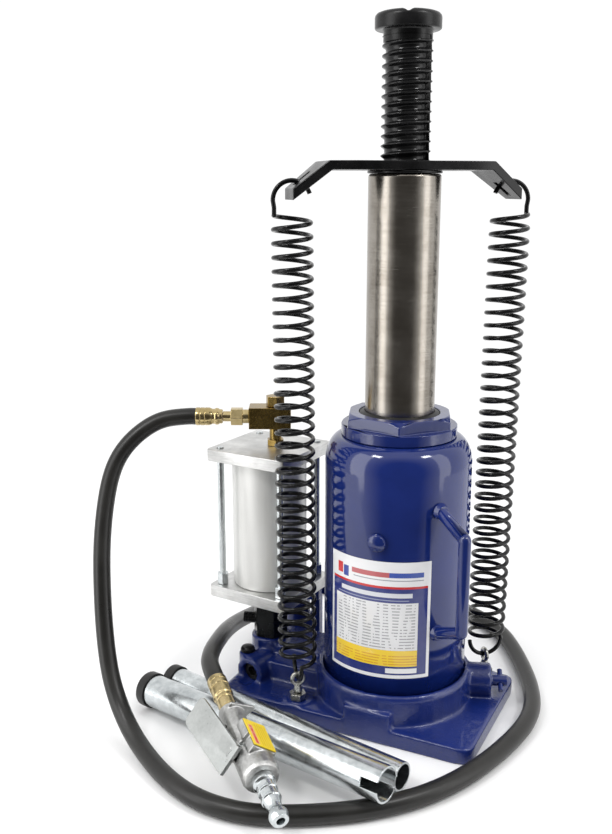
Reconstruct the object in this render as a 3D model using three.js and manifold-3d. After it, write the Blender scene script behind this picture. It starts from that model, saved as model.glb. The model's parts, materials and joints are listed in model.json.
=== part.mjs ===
// Air and hand operated bottle jack, standing with its ram and its extension screw fully out.
// Millimetres. Z is up, the origin is on the floor under the ram, X runs along the base towards
// the release valve and Y runs towards the back.
import * as THREE from 'three';
import { mergeVertices } from 'three/addons/utils/BufferGeometryUtils.js';
import Module from 'manifold-3d';

const wasm = await Module();
wasm.setup();

// ---------------------------------------------------------------- driving dimensions
const GAP = 0.3;                  // clearance between neighbouring pieces
const BASE_LEFT = -120;
const BASE_RIGHT = 80;
const BASE_HALF_DEPTH = 60;
const BASE_PLATE = 12;
const BASE_CORNER = 9;
const COLLAR_WALL = 4.9;
const COLLAR_TOP = 36;
const TANK_RADIUS = 53.5;
const TANK_WALL = 3;
const TANK_SHOULDER = 20;
const RAM_RADIUS = 25;
const RAM_STROKE = 150;
const RAM_LENGTH = 222;           // from the piston's face to the top of the ram
const PISTON_DOWN = 26;           // height of the piston's face with the ram fully down
const PISTON_HEIGHT = 18;
const PISTON_STEP = 4.4;          // from the ram's surface to the bore of the cylinder
const CYLINDER_WALL = 6.6;
const SCREW_CREST_RADIUS = 17;
const SCREW_ROOT_RADIUS = 14.6;
const SCREW_PITCH = 6.4;
const HEAD_RADIUS = 22.2;
const SCREW_OUT = 103;            // from the top of the ram to the top of the saddle
const HEAD_HEIGHT = 11;
const BAR_ANGLE = 39.3;           // turn of the spring bar away from X, in degrees
const BAR_THICK = 6;
const BAR_WIDTH = 48;
const BAR_TIP_WIDTH = 27;
const BAR_HALF = 81;
const BAR_BEND = 58;
const BAR_DROOP = 38;             // fall of the two ends, in degrees
const SPRING_RADIUS = 13;         // to the middle of the wire
const SPRING_WIRE = 1.6;
const SPRING_TURNS = 35;
const SPRING_REACH = 79;          // from the ram axis to the hook on the bar
const EYE_OUT = 4;                // from the side of the tank to the eyebolt, along X
const EYE_Y = 50;
const MOTOR_OUT = 51.5;           // from the side of the tank to the motor's axis
const MOTOR_Y = -4;
const MOTOR_TURN = -5;            // degrees
const MOTOR_SIDE = 70;
const MOTOR_LOW = 75;
const MOTOR_HIGH = 195;
const MOTOR_PLATE = 9.3;
const MOTOR_CYLINDER_RADIUS = 29;
const TUBE_FRONT_RADIUS = 12;
const TUBE_REAR_RADIUS = 10;
const TUBE_WALL = 1.5;
const HOSE_RADIUS = 6.5;
const RELEASE_TURN = 20;          // degrees from X to the release valve
const PUMP_X = -107;
const PUMP_Y = 49;
const PUMP_PIVOT_X = -89;
const PUMP_PIVOT_Z = 58;

// ---------------------------------------------------------------- derived places
const COLLAR_RADIUS = TANK_RADIUS + COLLAR_WALL;
const EYE_X = TANK_RADIUS + EYE_OUT;
const MOTOR_X = -TANK_RADIUS - MOTOR_OUT;
const PISTON_LOW = PISTON_DOWN + RAM_STROKE;
const PISTON_HIGH = PISTON_LOW + PISTON_HEIGHT;
const RAM_TOP = PISTON_LOW + RAM_LENGTH;
const HEAD_TOP = RAM_TOP + SCREW_OUT;
const CYLINDER_BORE = RAM_RADIUS + PISTON_STEP;
const CYLINDER_RADIUS = CYLINDER_BORE + CYLINDER_WALL;
const CAP_FLANGE_RADIUS = CYLINDER_RADIUS + 6;
const CAP_LOW = PISTON_HIGH + 6;
const CYLINDER_TOP = CAP_LOW + 12;
const TANK_TOP = CAP_LOW + 15;
const CAP_TOP = TANK_TOP + 17;
const BAR_LOW = RAM_TOP + 2 + GAP;
const BAR_TOP = BAR_LOW + BAR_THICK;
const HEAD_LOW = HEAD_TOP - HEAD_HEIGHT;
const MOTOR_INSET = 8;
const COLOURS = {
  blue: ['#1d2f8f', 0.35, 0.3],
  black: ['#15161a', 0.35, 0.6],
  rubber: ['#20211f', 0.7, 0],
  steel: ['#8d8a84', 0.3, 1],
  zinc: ['#c9ccd0', 0.3, 0.9],
  aluminium: ['#c4c6c8', 0.35, 0.9],
  brass: ['#b8913f', 0.3, 1],
  paper: ['#e6e6ea', 0.5, 0],
  yellow: ['#e9c21c', 0.5, 0],
};

const part = new THREE.Group();
part.name = 'air_bottle_jack';
const rad = THREE.MathUtils.degToRad;
const v3 = (x, y, z) => new THREE.Vector3(x, y, z);

// ---------------------------------------------------------------- small tools
function solid(geometry) {
  const bare = geometry.index ? geometry.toNonIndexed() : geometry.clone();
  bare.deleteAttribute('normal');
  bare.deleteAttribute('uv');
  const welded = mergeVertices(bare, 1e-4);
  const index = [];
  const source = welded.index.array;
  for (let i = 0; i < source.length; i += 3) {
    const [a, b, c] = [source[i], source[i + 1], source[i + 2]];
    if (a !== b && b !== c && a !== c) index.push(a, b, c);
  }
  const mesh = new wasm.Mesh({
    numProp: 3,
    vertProperties: new Float32Array(welded.attributes.position.array),
    triVerts: new Uint32Array(index),
  });
  return new wasm.Manifold(mesh);
}

function geometryOf(body) {
  const mesh = body.getMesh();
  const geometry = new THREE.BufferGeometry();
  const points = new Float32Array(mesh.numVert * 3);
  for (let i = 0; i < mesh.numVert; i += 1) {
    for (let k = 0; k < 3; k += 1) points[i * 3 + k] = mesh.vertProperties[i * mesh.numProp + k];
  }
  geometry.setAttribute('position', new THREE.BufferAttribute(points, 3));
  geometry.setIndex(new THREE.BufferAttribute(new Uint32Array(mesh.triVerts), 1));
  const faceted = geometry.toNonIndexed();
  faceted.computeVertexNormals();
  return faceted;
}

function addPiece(name, colour, body) {
  const geometry = body.isBufferGeometry ? body : geometryOf(body);
  const [tint, roughness, metalness] = COLOURS[colour];
  const material = new THREE.MeshStandardMaterial({ color: tint, roughness, metalness });
  const mesh = new THREE.Mesh(geometry, material);
  mesh.name = name;
  part.add(mesh);
}

// A turned body about Z from [radius, height] corners, given counter-clockwise.
function turned(corners, sides = 32) {
  const points = corners.map(([r, z]) => new THREE.Vector2(r, z));
  if (points[0].x > 0) points.push(points[0].clone());
  const geometry = new THREE.LatheGeometry(points, sides);
  geometry.rotateX(Math.PI / 2);
  return solid(geometry);
}

function disc(radius, low, high, sides = 24) {
  return turned([[0, low], [radius, low], [radius, high], [0, high]], sides);
}

function ring(inner, outer, low, high, sides = 32) {
  return turned([[inner, low], [outer, low], [outer, high], [inner, high]], sides);
}

function block(x0, x1, y0, y1, z0, z1) {
  const geometry = new THREE.BoxGeometry(x1 - x0, y1 - y0, z1 - z0);
  geometry.translate((x0 + x1) / 2, (y0 + y1) / 2, (z0 + z1) / 2);
  return solid(geometry);
}

// A flat outline of [x, y] corners raised from low to high.
function raised(outline, low, high) {
  const shape = new THREE.Shape(outline.map(([x, y]) => new THREE.Vector2(x, y)));
  const geometry = new THREE.ExtrudeGeometry(shape, { depth: high - low, bevelEnabled: false });
  geometry.translate(0, 0, low);
  return solid(geometry);
}

function roundedOutline(x0, x1, y0, y1, radius, steps = 4) {
  const outline = [];
  const centres = [[x1 - radius, y1 - radius], [x0 + radius, y1 - radius]];
  centres.push([x0 + radius, y0 + radius], [x1 - radius, y0 + radius]);
  centres.forEach(([cx, cy], corner) => {
    for (let i = 0; i <= steps; i += 1) {
      const a = (corner + i / steps) * Math.PI / 2;
      outline.push([cx + radius * Math.cos(a), cy + radius * Math.sin(a)]);
    }
  });
  return outline;
}

function circleOutline(radius, sides, turn = 0) {
  const outline = [];
  for (let i = 0; i < sides; i += 1) {
    const a = (i / sides) * Math.PI * 2 + turn;
    outline.push([radius * Math.cos(a), radius * Math.sin(a)]);
  }
  return outline;
}

// A wire of round section along a list of points.
function wire(points, radius, sides, stepsPerSpan = 1) {
  const path = new THREE.CatmullRomCurve3(points, false, 'centripetal');
  path.getUtoTmapping = (u) => u;
  const steps = (points.length - 1) * stepsPerSpan;
  const outline = circleOutline(radius, sides).map(([x, y]) => new THREE.Vector2(x, y));
  const options = { steps, bevelEnabled: false, extrudePath: path };
  return new THREE.ExtrudeGeometry(new THREE.Shape(outline), options);
}

// The frame that carries a body built about Z so that it starts at a point and runs along a line.
function along(start, direction, turn = 0) {
  const toLine = new THREE.Quaternion().setFromUnitVectors(v3(0, 0, 1), direction.clone().normalize());
  const about = new THREE.Quaternion().setFromAxisAngle(v3(0, 0, 1), turn);
  return new THREE.Matrix4().compose(start, toLine.multiply(about), v3(1, 1, 1));
}

function moved(body, matrix) {
  return body.transform(matrix.elements);
}

function rodBetween(start, end, radius, sides = 16) {
  const line = end.clone().sub(start);
  return moved(disc(radius, 0, line.length(), sides), along(start, line));
}

// A right-handed screw thread between two heights, its crest following the helix.
function threadedRod(root, crest, pitch, low, high) {
  const sides = 12;
  const rows = [[0, root], [0.34, root], [0.5, crest], [0.84, crest]];
  const turns = Math.ceil((high - low) / pitch) + 3;
  const points = [];
  const base = low - 2 * pitch;
  for (let j = 0; j < turns * rows.length; j += 1) {
    const [phase, radius] = rows[j % rows.length];
    const lift = base + (Math.floor(j / rows.length) + phase) * pitch;
    for (let i = 0; i < sides; i += 1) {
      const a = (i / sides) * Math.PI * 2;
      points.push(radius * Math.cos(a), radius * Math.sin(a), lift + (i / sides) * pitch);
    }
  }
  const index = [];
  const count = turns * rows.length;
  const at = (j, i) => (i === sides ? (j + rows.length) * sides : j * sides + i);
  for (let j = 0; j < count - rows.length - 1; j += 1) {
    for (let i = 0; i < sides; i += 1) {
      const [a, b, c, d] = [at(j, i), at(j, i + 1), at(j + 1, i + 1), at(j + 1, i)];
      index.push(a, b, c, a, c, d);
    }
  }
  const lastRow = count - rows.length - 1;
  const bottom = points.length / 3;
  points.push(0, 0, base);
  points.push(0, 0, base + turns * pitch);
  for (let i = 0; i < sides; i += 1) {
    index.push(bottom, at(0, i + 1), at(0, i));
    index.push(bottom + 1, at(lastRow, i), at(lastRow, i + 1));
  }
  for (let k = 0; k < rows.length; k += 1) {
    index.push(bottom, at(k, 0), at(k + 1, 0));
    index.push(bottom + 1, at(lastRow + k + 1, 0), at(lastRow + k, 0));
  }
  const geometry = new THREE.BufferGeometry();
  geometry.setAttribute('position', new THREE.BufferAttribute(new Float32Array(points), 3));
  geometry.setIndex(index);
  return solid(geometry).intersect(disc(crest + 2, low, high, 8));
}

// ---------------------------------------------------------------- base casting and its valves
const releaseLine = v3(Math.cos(rad(RELEASE_TURN)), Math.sin(rad(RELEASE_TURN)), 0);
const RELEASE_Z = 22.5;
const RELEASE_IN = COLLAR_RADIUS - 6.4;
const RELEASE_SEAT = COLLAR_RADIUS + 1.6;
const RELEASE_FACE = COLLAR_RADIUS + 15.6;
const RELEASE_PIN_AT = COLLAR_RADIUS + 22.6;
const RELEASE_BORE = 5;
const RELEASE_PIN_HALF = 9.8;
const RELEASE_PIN_TILT = rad(25);
const releaseStart = releaseLine.clone().multiplyScalar(RELEASE_IN).setZ(RELEASE_Z);
const PLUG_TURN = -102;           // direction of the plug boss, in degrees from X
const plugLine = v3(Math.cos(rad(PLUG_TURN)), Math.sin(rad(PLUG_TURN)), 0);
const plugFace = v3(-106, -39, 17.5);
const SUCTION_LOW = 26;
const SUCTION_TOP = 30.4;
const suctionFrame = new THREE.Matrix4().setPosition(-113, -28, 0);
const COLUMN_RADIUS = 15.5;
const COLUMN_TOP = 38;
const PUMP_COLUMN_RADIUS = 10.5;
const PUMP_COLUMN_TOP = 44;
const pumpFrame = new THREE.Matrix4().setPosition(PUMP_X, PUMP_Y, 0);
const motorFoot = new THREE.Matrix4().setPosition(MOTOR_X, MOTOR_Y, 0);
const CYLINDER_LOW = 14;
const TANK_LOW = 26;

function addBase() {
  const outline = roundedOutline(BASE_LEFT, BASE_RIGHT, -BASE_HALF_DEPTH, BASE_HALF_DEPTH, BASE_CORNER);
  let body = raised(outline, 0, BASE_PLATE);
  const collar = turned([
    [0, 4], [COLLAR_RADIUS, 4], [COLLAR_RADIUS, COLLAR_TOP - 4],
    [COLLAR_RADIUS - 1.2, COLLAR_TOP - 1.2], [COLLAR_RADIUS - 4, COLLAR_TOP], [0, COLLAR_TOP],
  ], 36);
  body = body.add(collar);
  body = body.add(block(-16, 20, -BASE_HALF_DEPTH - 0.8, -40, 0, 24));
  body = body.add(raised(roundedOutline(-100, -40, -30, 26, 5), 4, 26.5));
  body = body.add(raised(roundedOutline(-112, -40, -16, 22, 6), 4, 34));
  body = body.add(moved(disc(COLUMN_RADIUS, 4, COLUMN_TOP, 24), motorFoot));
  body = body.add(moved(disc(PUMP_COLUMN_RADIUS, 4, PUMP_COLUMN_TOP, 20), pumpFrame));
  body = body.add(block(PUMP_PIVOT_X - 4, PUMP_PIVOT_X + 4, PUMP_Y - 4, PUMP_Y + 4, 4, PUMP_PIVOT_Z + 5));
  body = body.add(block(PUMP_X, PUMP_PIVOT_X, PUMP_Y - 4, PUMP_Y + 4, 4, 34));
  body = body.add(moved(disc(13, 0, RELEASE_FACE - RELEASE_IN, 24), along(releaseStart, releaseLine)));
  const plugStart = plugFace.clone().addScaledVector(plugLine, -22);
  body = body.add(moved(disc(12.5, 0, 22, 24), along(plugStart, plugLine)));
  body = body.add(moved(disc(7, 4, SUCTION_TOP, 16), suctionFrame));
  for (const side of [-1, 1]) {
    const place = new THREE.Matrix4().setPosition(side * EYE_X, side * (EYE_Y - 2), 0);
    body = body.add(moved(disc(11, 4, BASE_PLATE + 1.5, 16), place));
  }
  // seat of the tank, seat of the pressure cylinder, pump bores and valve bores
  body = body.subtract(ring(TANK_RADIUS - TANK_WALL - GAP, TANK_RADIUS + GAP, TANK_LOW - GAP, 60, 36));
  body = body.subtract(disc(CYLINDER_RADIUS + GAP, CYLINDER_LOW - GAP, 60, 32));
  body = body.subtract(moved(disc(6.8, 20, 60, 20), motorFoot));
  body = body.subtract(moved(disc(10.3, 28, 60, 20), motorFoot));
  body = body.subtract(moved(disc(6.3, 14, 60, 20), pumpFrame));
  const releaseBore = along(releaseLine.clone().multiplyScalar(RELEASE_SEAT).setZ(RELEASE_Z), releaseLine);
  body = body.subtract(moved(disc(RELEASE_BORE + GAP, 0, 40, 20), releaseBore));
  const plugBore = plugFace.clone().addScaledVector(plugLine, -12);
  body = body.subtract(moved(disc(7 + GAP, 0, 20, 20), along(plugBore, plugLine)));
  body = body.subtract(moved(disc(3.5 + GAP, SUCTION_LOW - GAP, 60, 12), suctionFrame));
  const pinBore = along(v3(PUMP_PIVOT_X, PUMP_Y - 20, PUMP_PIVOT_Z), v3(0, 1, 0));
  body = body.subtract(moved(disc(2.5 + GAP, 0, 40, 12), pinBore));
  for (const side of [-1, 1]) {
    const place = new THREE.Matrix4().setPosition(side * EYE_X, side * EYE_Y, 0);
    body = body.subtract(moved(disc(2.6 + GAP, -1, 30, 12), place));
  }
  addPiece('base_casting', 'blue', body);
}

function addReleaseValve() {
  const seat = releaseLine.clone().multiplyScalar(RELEASE_SEAT + GAP).setZ(RELEASE_Z);
  const screw = turned([
    [0, 0], [2.4, 2.4], [RELEASE_BORE, 4], [RELEASE_BORE, 14], [4.2, 15], [4.2, 26], [0, 26],
  ], 20);
  const middle = releaseLine.clone().multiplyScalar(RELEASE_PIN_AT + GAP).setZ(RELEASE_Z);
  const level = v3(-releaseLine.y, releaseLine.x, 0);
  const pinLine = level.multiplyScalar(Math.cos(RELEASE_PIN_TILT)).setZ(Math.sin(RELEASE_PIN_TILT));
  const start = middle.clone().addScaledVector(pinLine, -RELEASE_PIN_HALF);
  const end = middle.clone().addScaledVector(pinLine, RELEASE_PIN_HALF);
  const body = moved(screw, along(seat, releaseLine)).subtract(rodBetween(start, end, 2 + GAP, 12));
  addPiece('release_screw', 'blue', body);
  addPiece('release_cross_pin', 'blue', rodBetween(start, end, 2, 12));
}

function addBasePlugs() {
  const start = plugFace.clone().addScaledVector(plugLine, -12 + GAP);
  let plug = disc(7, 0, 8, 20);
  plug = plug.subtract(raised(circleOutline(4, 6), 4, 12));
  addPiece('valve_plug', 'black', moved(plug, along(start, plugLine)));
  const low = SUCTION_TOP + GAP;
  const head = turned([[0, low], [5.8, low], [5.8, low + 2], [4.4, low + 3.8], [0, low + 4.4]], 16);
  const suction = disc(3.5, SUCTION_LOW, SUCTION_TOP + 1, 12).add(head);
  addPiece('suction_plug', 'black', moved(suction, suctionFrame));
}

// ---------------------------------------------------------------- tank, cylinder, cap and ram
const FILLER_TURN = -84;
const FILLER_Z = 150;
const fillerAxis = v3(Math.cos(rad(FILLER_TURN)), Math.sin(rad(FILLER_TURN)), 0);

// The frame of a body that stands out of the tank wall at a height.
function frameAt(axis, reach, height) {
  return along(axis.clone().multiplyScalar(reach).setZ(height), axis);
}

function addTank() {
  const outer = TANK_RADIUS;
  const inner = outer - TANK_WALL;
  const hole = CYLINDER_RADIUS + 3 + 2 * GAP;
  const bend = TANK_TOP - TANK_SHOULDER;
  const profile = [[inner, TANK_LOW], [outer, TANK_LOW], [outer, bend]];
  for (const a of [20, 42, 66]) {
    profile.push([outer - 11.5 * (1 - Math.cos(rad(a))), bend + TANK_SHOULDER * Math.sin(rad(a))]);
  }
  profile.push([hole + 1.2, TANK_TOP], [hole, TANK_TOP], [hole, TANK_TOP - 3]);
  for (const a of [50, 25]) {
    profile.push([inner - 9 * (1 - Math.cos(rad(a))), bend + (TANK_SHOULDER - 3.5) * Math.sin(rad(a))]);
  }
  profile.push([inner, bend]);
  let body = turned(profile, 36);
  const filler = frameAt(fillerAxis, TANK_RADIUS - 6, FILLER_Z);
  body = body.subtract(moved(disc(4 + GAP, -4, 12, 16), filler));
  addPiece('reservoir_tank', 'blue', body);
  const plug = turned([
    [0, -1.5], [4, -1.5], [4, 6 + GAP + 0.4], [6.8, 6 + GAP + 0.4], [6.2, 8.6], [3.6, 10.2], [0, 10.6],
  ], 20);
  addPiece('filler_plug', 'blue', moved(plug, filler));
}

const LABEL_LEFT = -126.2;
const LABEL_RIGHT = -42.2;
const LABEL_LOW = 48.5;
const LABEL_HIGH = 136.5;
function addLabel() {
  const inner = TANK_RADIUS + 0.25;
  const outer = inner + 0.3;
  const outline = [];
  const steps = 14;
  for (let i = 0; i <= steps; i += 1) {
    const a = rad(LABEL_LEFT + (LABEL_RIGHT - LABEL_LEFT) * i / steps);
    outline.push([outer * Math.cos(a), outer * Math.sin(a)]);
  }
  for (let i = steps; i >= 0; i -= 1) {
    const a = rad(LABEL_LEFT + (LABEL_RIGHT - LABEL_LEFT) * i / steps);
    outline.push([inner * Math.cos(a), inner * Math.sin(a)]);
  }
  addPiece('reservoir_label', 'paper', raised(outline, LABEL_LOW, LABEL_HIGH));
}

const CAP_FLANGE_LOW = TANK_TOP + GAP;
const CAP_FLANGE_TOP = CAP_FLANGE_LOW + 8;
const HANDLE_TURN = -36;
const HANDLE_LOW = 81;
const HANDLE_HIGH = 172;
const HANDLE_REACH = TANK_RADIUS + 40.5;
const HANDLE_ROD = 4.3;

function addCylinderAndCap() {
  const cylinder = ring(CYLINDER_BORE, CYLINDER_RADIUS, CYLINDER_LOW, CYLINDER_TOP, 32);
  addPiece('pressure_cylinder', 'steel', cylinder);
  const skirt = CYLINDER_RADIUS + GAP;
  let cap = turned([
    [RAM_RADIUS + GAP, CAP_LOW], [CYLINDER_BORE - GAP, CAP_LOW], [CYLINDER_BORE - GAP, CYLINDER_TOP + GAP],
    [skirt, CYLINDER_TOP + GAP], [skirt, CYLINDER_TOP - 6], [skirt + 3, CYLINDER_TOP - 6],
    [skirt + 3, CAP_FLANGE_LOW], [CAP_FLANGE_RADIUS, CAP_FLANGE_LOW],
    [CAP_FLANGE_RADIUS, CAP_FLANGE_TOP], [RAM_RADIUS + GAP, CAP_FLANGE_TOP],
  ], 32);
  const faces = raised(circleOutline(CAP_FLANGE_RADIUS - 0.5, 6, rad(-69.5)), CAP_FLANGE_TOP - 1, CAP_TOP);
  const chamfer = turned([
    [0, CAP_FLANGE_TOP - 2], [CAP_FLANGE_RADIUS, CAP_FLANGE_TOP - 2], [CAP_FLANGE_RADIUS, CAP_TOP - 3.4],
    [CAP_FLANGE_RADIUS - 5, CAP_TOP], [0, CAP_TOP],
  ], 32);
  cap = cap.add(faces.intersect(chamfer).subtract(disc(RAM_RADIUS + GAP, CAP_LOW, CAP_TOP + 8, 32)));
  cap = cap.subtract(disc(RAM_RADIUS + 4 + GAP, CAP_TOP - 6, CAP_TOP + 4, 32));
  addPiece('top_cap_nut', 'blue', cap);
  addPiece('ram_wiper', 'rubber', turned([
    [RAM_RADIUS + GAP, CAP_TOP - 5.7], [RAM_RADIUS + 4, CAP_TOP - 5.7],
    [RAM_RADIUS + 4, CAP_TOP - 0.6], [RAM_RADIUS + GAP, CAP_TOP + 0.8],
  ], 32));
}

const PISTON_RADIUS = CYLINDER_BORE - GAP;
const SCREW_BORE = SCREW_CREST_RADIUS + 0.5;
const SCREW_BORE_LOW = RAM_TOP - 166;

function addRam() {
  addPiece('ram', 'steel', turned([
    [0, PISTON_LOW], [PISTON_RADIUS, PISTON_LOW], [PISTON_RADIUS, PISTON_LOW + 4],
    [PISTON_RADIUS - 4, PISTON_LOW + 4], [PISTON_RADIUS - 4, PISTON_LOW + 10],
    [PISTON_RADIUS, PISTON_LOW + 10], [PISTON_RADIUS, PISTON_HIGH], [RAM_RADIUS, PISTON_HIGH],
    [RAM_RADIUS, RAM_TOP - 2], [RAM_RADIUS - 1.6, RAM_TOP], [SCREW_BORE, RAM_TOP],
    [SCREW_BORE, SCREW_BORE_LOW], [0, SCREW_BORE_LOW],
  ], 32));
  const seal = ring(PISTON_RADIUS - 4 + GAP, PISTON_RADIUS, PISTON_LOW + 4 + GAP, PISTON_LOW + 10 - GAP, 32);
  addPiece('piston_seal', 'rubber', seal);
  addPiece('ram_top_ring', 'black', ring(SCREW_BORE + 0.6, RAM_RADIUS + 0.6, RAM_TOP + GAP, RAM_TOP + 2, 32));
}

const SHANK_LOW = RAM_TOP - 80;
const THREAD_LOW = RAM_TOP;
const STOP_LOW = SHANK_LOW + 4;
function addScrew() {
  let body = threadedRod(SCREW_ROOT_RADIUS, SCREW_CREST_RADIUS, SCREW_PITCH, THREAD_LOW, HEAD_LOW - 4);
  body = body.add(turned([
    [0, SHANK_LOW], [14, SHANK_LOW], [14, STOP_LOW], [11, STOP_LOW], [11, STOP_LOW + 4],
    [14, STOP_LOW + 4], [14, THREAD_LOW + 2], [0, THREAD_LOW + 2],
  ], 24));
  const low = HEAD_LOW;
  body = body.add(turned([
    [0, low - 8], [16.4, low - 8], [16.4, low], [HEAD_RADIUS - 0.5, low], [HEAD_RADIUS, low + 1],
    [HEAD_RADIUS, HEAD_TOP - 3], [HEAD_RADIUS - 1.4, HEAD_TOP - 1], [HEAD_RADIUS - 6, HEAD_TOP],
    [0, HEAD_TOP],
  ], 32));
  // two grooves cross the top of the saddle
  const vee = [[-3.6, 0.1], [0, -2.3], [3.6, 0.1], [3.6, 3], [-3.6, 3]];
  for (const turn of [-69.5, 20.5]) {
    const groove = new THREE.Shape(vee.map(([x, y]) => new THREE.Vector2(x, y)));
    const geometry = new THREE.ExtrudeGeometry(groove, { depth: 60, bevelEnabled: false });
    geometry.translate(0, 0, -30);
    geometry.rotateX(Math.PI / 2);
    geometry.rotateZ(rad(turn + 90));
    geometry.translate(0, 0, HEAD_TOP);
    body = body.subtract(solid(geometry));
  }
  addPiece('extension_screw', 'black', body);
  const stop = ring(11 + GAP, SCREW_BORE - 1, STOP_LOW + GAP, STOP_LOW + 4 - GAP, 24);
  addPiece('screw_stop_ring', 'steel', stop);
}

function addHandle() {
  const axis = v3(Math.cos(rad(HANDLE_TURN)), Math.sin(rad(HANDLE_TURN)), 0);
  const at = (reach, height) => axis.clone().multiplyScalar(reach).setZ(height);
  const start = TANK_RADIUS + 0.4;
  const bend = 12;
  const points = [at(start, HANDLE_HIGH), at(HANDLE_REACH - bend - 8, HANDLE_HIGH)];
  for (const a of [0, 30, 60, 90]) {
    const reach = HANDLE_REACH - bend + bend * Math.sin(rad(a));
    points.push(at(reach, HANDLE_HIGH - bend + bend * Math.cos(rad(a))));
  }
  points.push(at(HANDLE_REACH, (HANDLE_LOW + HANDLE_HIGH) / 2));
  for (const a of [90, 60, 30, 0]) {
    const reach = HANDLE_REACH - bend + bend * Math.sin(rad(a));
    points.push(at(reach, HANDLE_LOW + bend - bend * Math.cos(rad(a))));
  }
  points.push(at(HANDLE_REACH - bend - 8, HANDLE_LOW), at(start, HANDLE_LOW));
  let body = solid(wire(points, HANDLE_ROD, 10));
  for (const height of [HANDLE_LOW, HANDLE_HIGH]) {
    const weld = turned([[0, 0], [HANDLE_ROD + 0.7, 0], [HANDLE_ROD, 3.4], [0, 3.4]], 14);
    body = body.add(moved(weld, frameAt(axis, TANK_RADIUS - 1, height)));
  }
  body = body.subtract(disc(TANK_RADIUS + GAP, 40, 200, 36));
  addPiece('carry_handle', 'blue', body);
}

// ---------------------------------------------------------------- bar, springs and eyebolts
const barLine = v3(Math.cos(rad(BAR_ANGLE)), Math.sin(rad(BAR_ANGLE)), 0);
const BAR_HOLE = SCREW_CREST_RADIUS + 0.6;
const SLOT_HALF = 2.6;
const SLOT_IN = 66.5;
const SLOT_OUT = 77.5;

function addBar() {
  const fall = Math.tan(rad(BAR_DROOP));
  const slant = BAR_THICK / Math.cos(rad(BAR_DROOP));
  const drop = (BAR_HALF - BAR_BEND) * fall;
  const top = BAR_TOP;
  const low = BAR_LOW;
  const kink = BAR_BEND - BAR_THICK * Math.tan(rad(BAR_DROOP / 2));
  const outline = [
    [-BAR_HALF, top - drop - slant], [-kink, low], [kink, low], [BAR_HALF, top - drop - slant],
    [BAR_HALF, top - drop], [BAR_BEND, top], [-BAR_BEND, top], [-BAR_HALF, top - drop],
  ];
  const shape = new THREE.Shape(outline.map(([x, y]) => new THREE.Vector2(x, y)));
  const geometry = new THREE.ExtrudeGeometry(shape, { depth: BAR_WIDTH, bevelEnabled: false });
  geometry.translate(0, 0, -BAR_WIDTH / 2);
  geometry.rotateX(Math.PI / 2);
  const [half, tip, shoulder] = [BAR_WIDTH / 2, BAR_TIP_WIDTH / 2, BAR_BEND - 16];
  const plan = [[-BAR_HALF, -tip], [-shoulder, -half], [shoulder, -half], [BAR_HALF, -tip]];
  plan.slice().reverse().forEach(([x, y]) => plan.push([x, -y]));
  let body = solid(geometry).intersect(raised(plan, low - 40, top + 5));
  body = body.subtract(disc(BAR_HOLE, low - 5, top + 5, 32));
  for (const side of [-1, 1]) {
    const ends = [side * SLOT_IN, side * SLOT_OUT].sort((a, b) => a - b);
    body = body.subtract(block(ends[0], ends[1], -SLOT_HALF, SLOT_HALF, low - 30, top + 5));
  }
  addPiece('spring_bar', 'black', moved(body, new THREE.Matrix4().makeRotationZ(rad(BAR_ANGLE))));
}

const HOOK_Z = BAR_LOW - 19.7;      // centre of the top hook
const COIL_TOP = BAR_LOW - 29.3;
const COIL_LOW = 45;
const EYE_Z = 30;
const LOOP_LOW = 30.6;
const SPRING_SIDES = 4;
const STEPS_PER_TURN = 6;
// the left spring ends a quarter turn round, so its bight and its eye are turned with it
const QUARTER = { left: 0.25, right: 0 };

function addSpring(suffix, side) {
  const topAt = barLine.clone().multiplyScalar(side * SPRING_REACH);
  const lowAt = v3(side * EYE_X, side * EYE_Y, 0);
  const out = barLine.clone().multiplyScalar(side);
  const outAngle = Math.atan2(out.y, out.x);
  const points = [];
  for (const a of [158, 132, 106, 80, 54, 28, 0]) {
    const reach = SPRING_REACH + SPRING_RADIUS * Math.cos(rad(a));
    points.push(out.clone().multiplyScalar(reach).setZ(HOOK_Z + SPRING_RADIUS * Math.sin(rad(a))));
  }
  const total = SPRING_TURNS * STEPS_PER_TURN;
  const turns = SPRING_TURNS - QUARTER[suffix];
  for (let i = 0; i <= total; i += 1) {
    const t = i / total;
    const a = outAngle - t * turns * Math.PI * 2;
    const height = COIL_TOP + (COIL_LOW - COIL_TOP) * t;
    const axis = topAt.clone().lerp(lowAt, t);
    points.push(v3(axis.x + SPRING_RADIUS * Math.cos(a), axis.y + SPRING_RADIUS * Math.sin(a), height));
  }
  // the lower end comes down from the coil to a bight that passes under the eye
  const across = out.clone().applyAxisAngle(v3(0, 0, 1), QUARTER[suffix] * Math.PI * 2);
  for (const a of [-30, -62, -90, -118, -150, -176]) {
    const reach = SPRING_RADIUS * Math.cos(rad(a));
    const height = LOOP_LOW + SPRING_RADIUS + SPRING_RADIUS * Math.sin(rad(a));
    points.push(v3(lowAt.x + reach * across.x, lowAt.y + reach * across.y, height));
  }
  addPiece(`spring_${suffix}`, 'black', wire(points, SPRING_WIRE, SPRING_SIDES));
}

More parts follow.
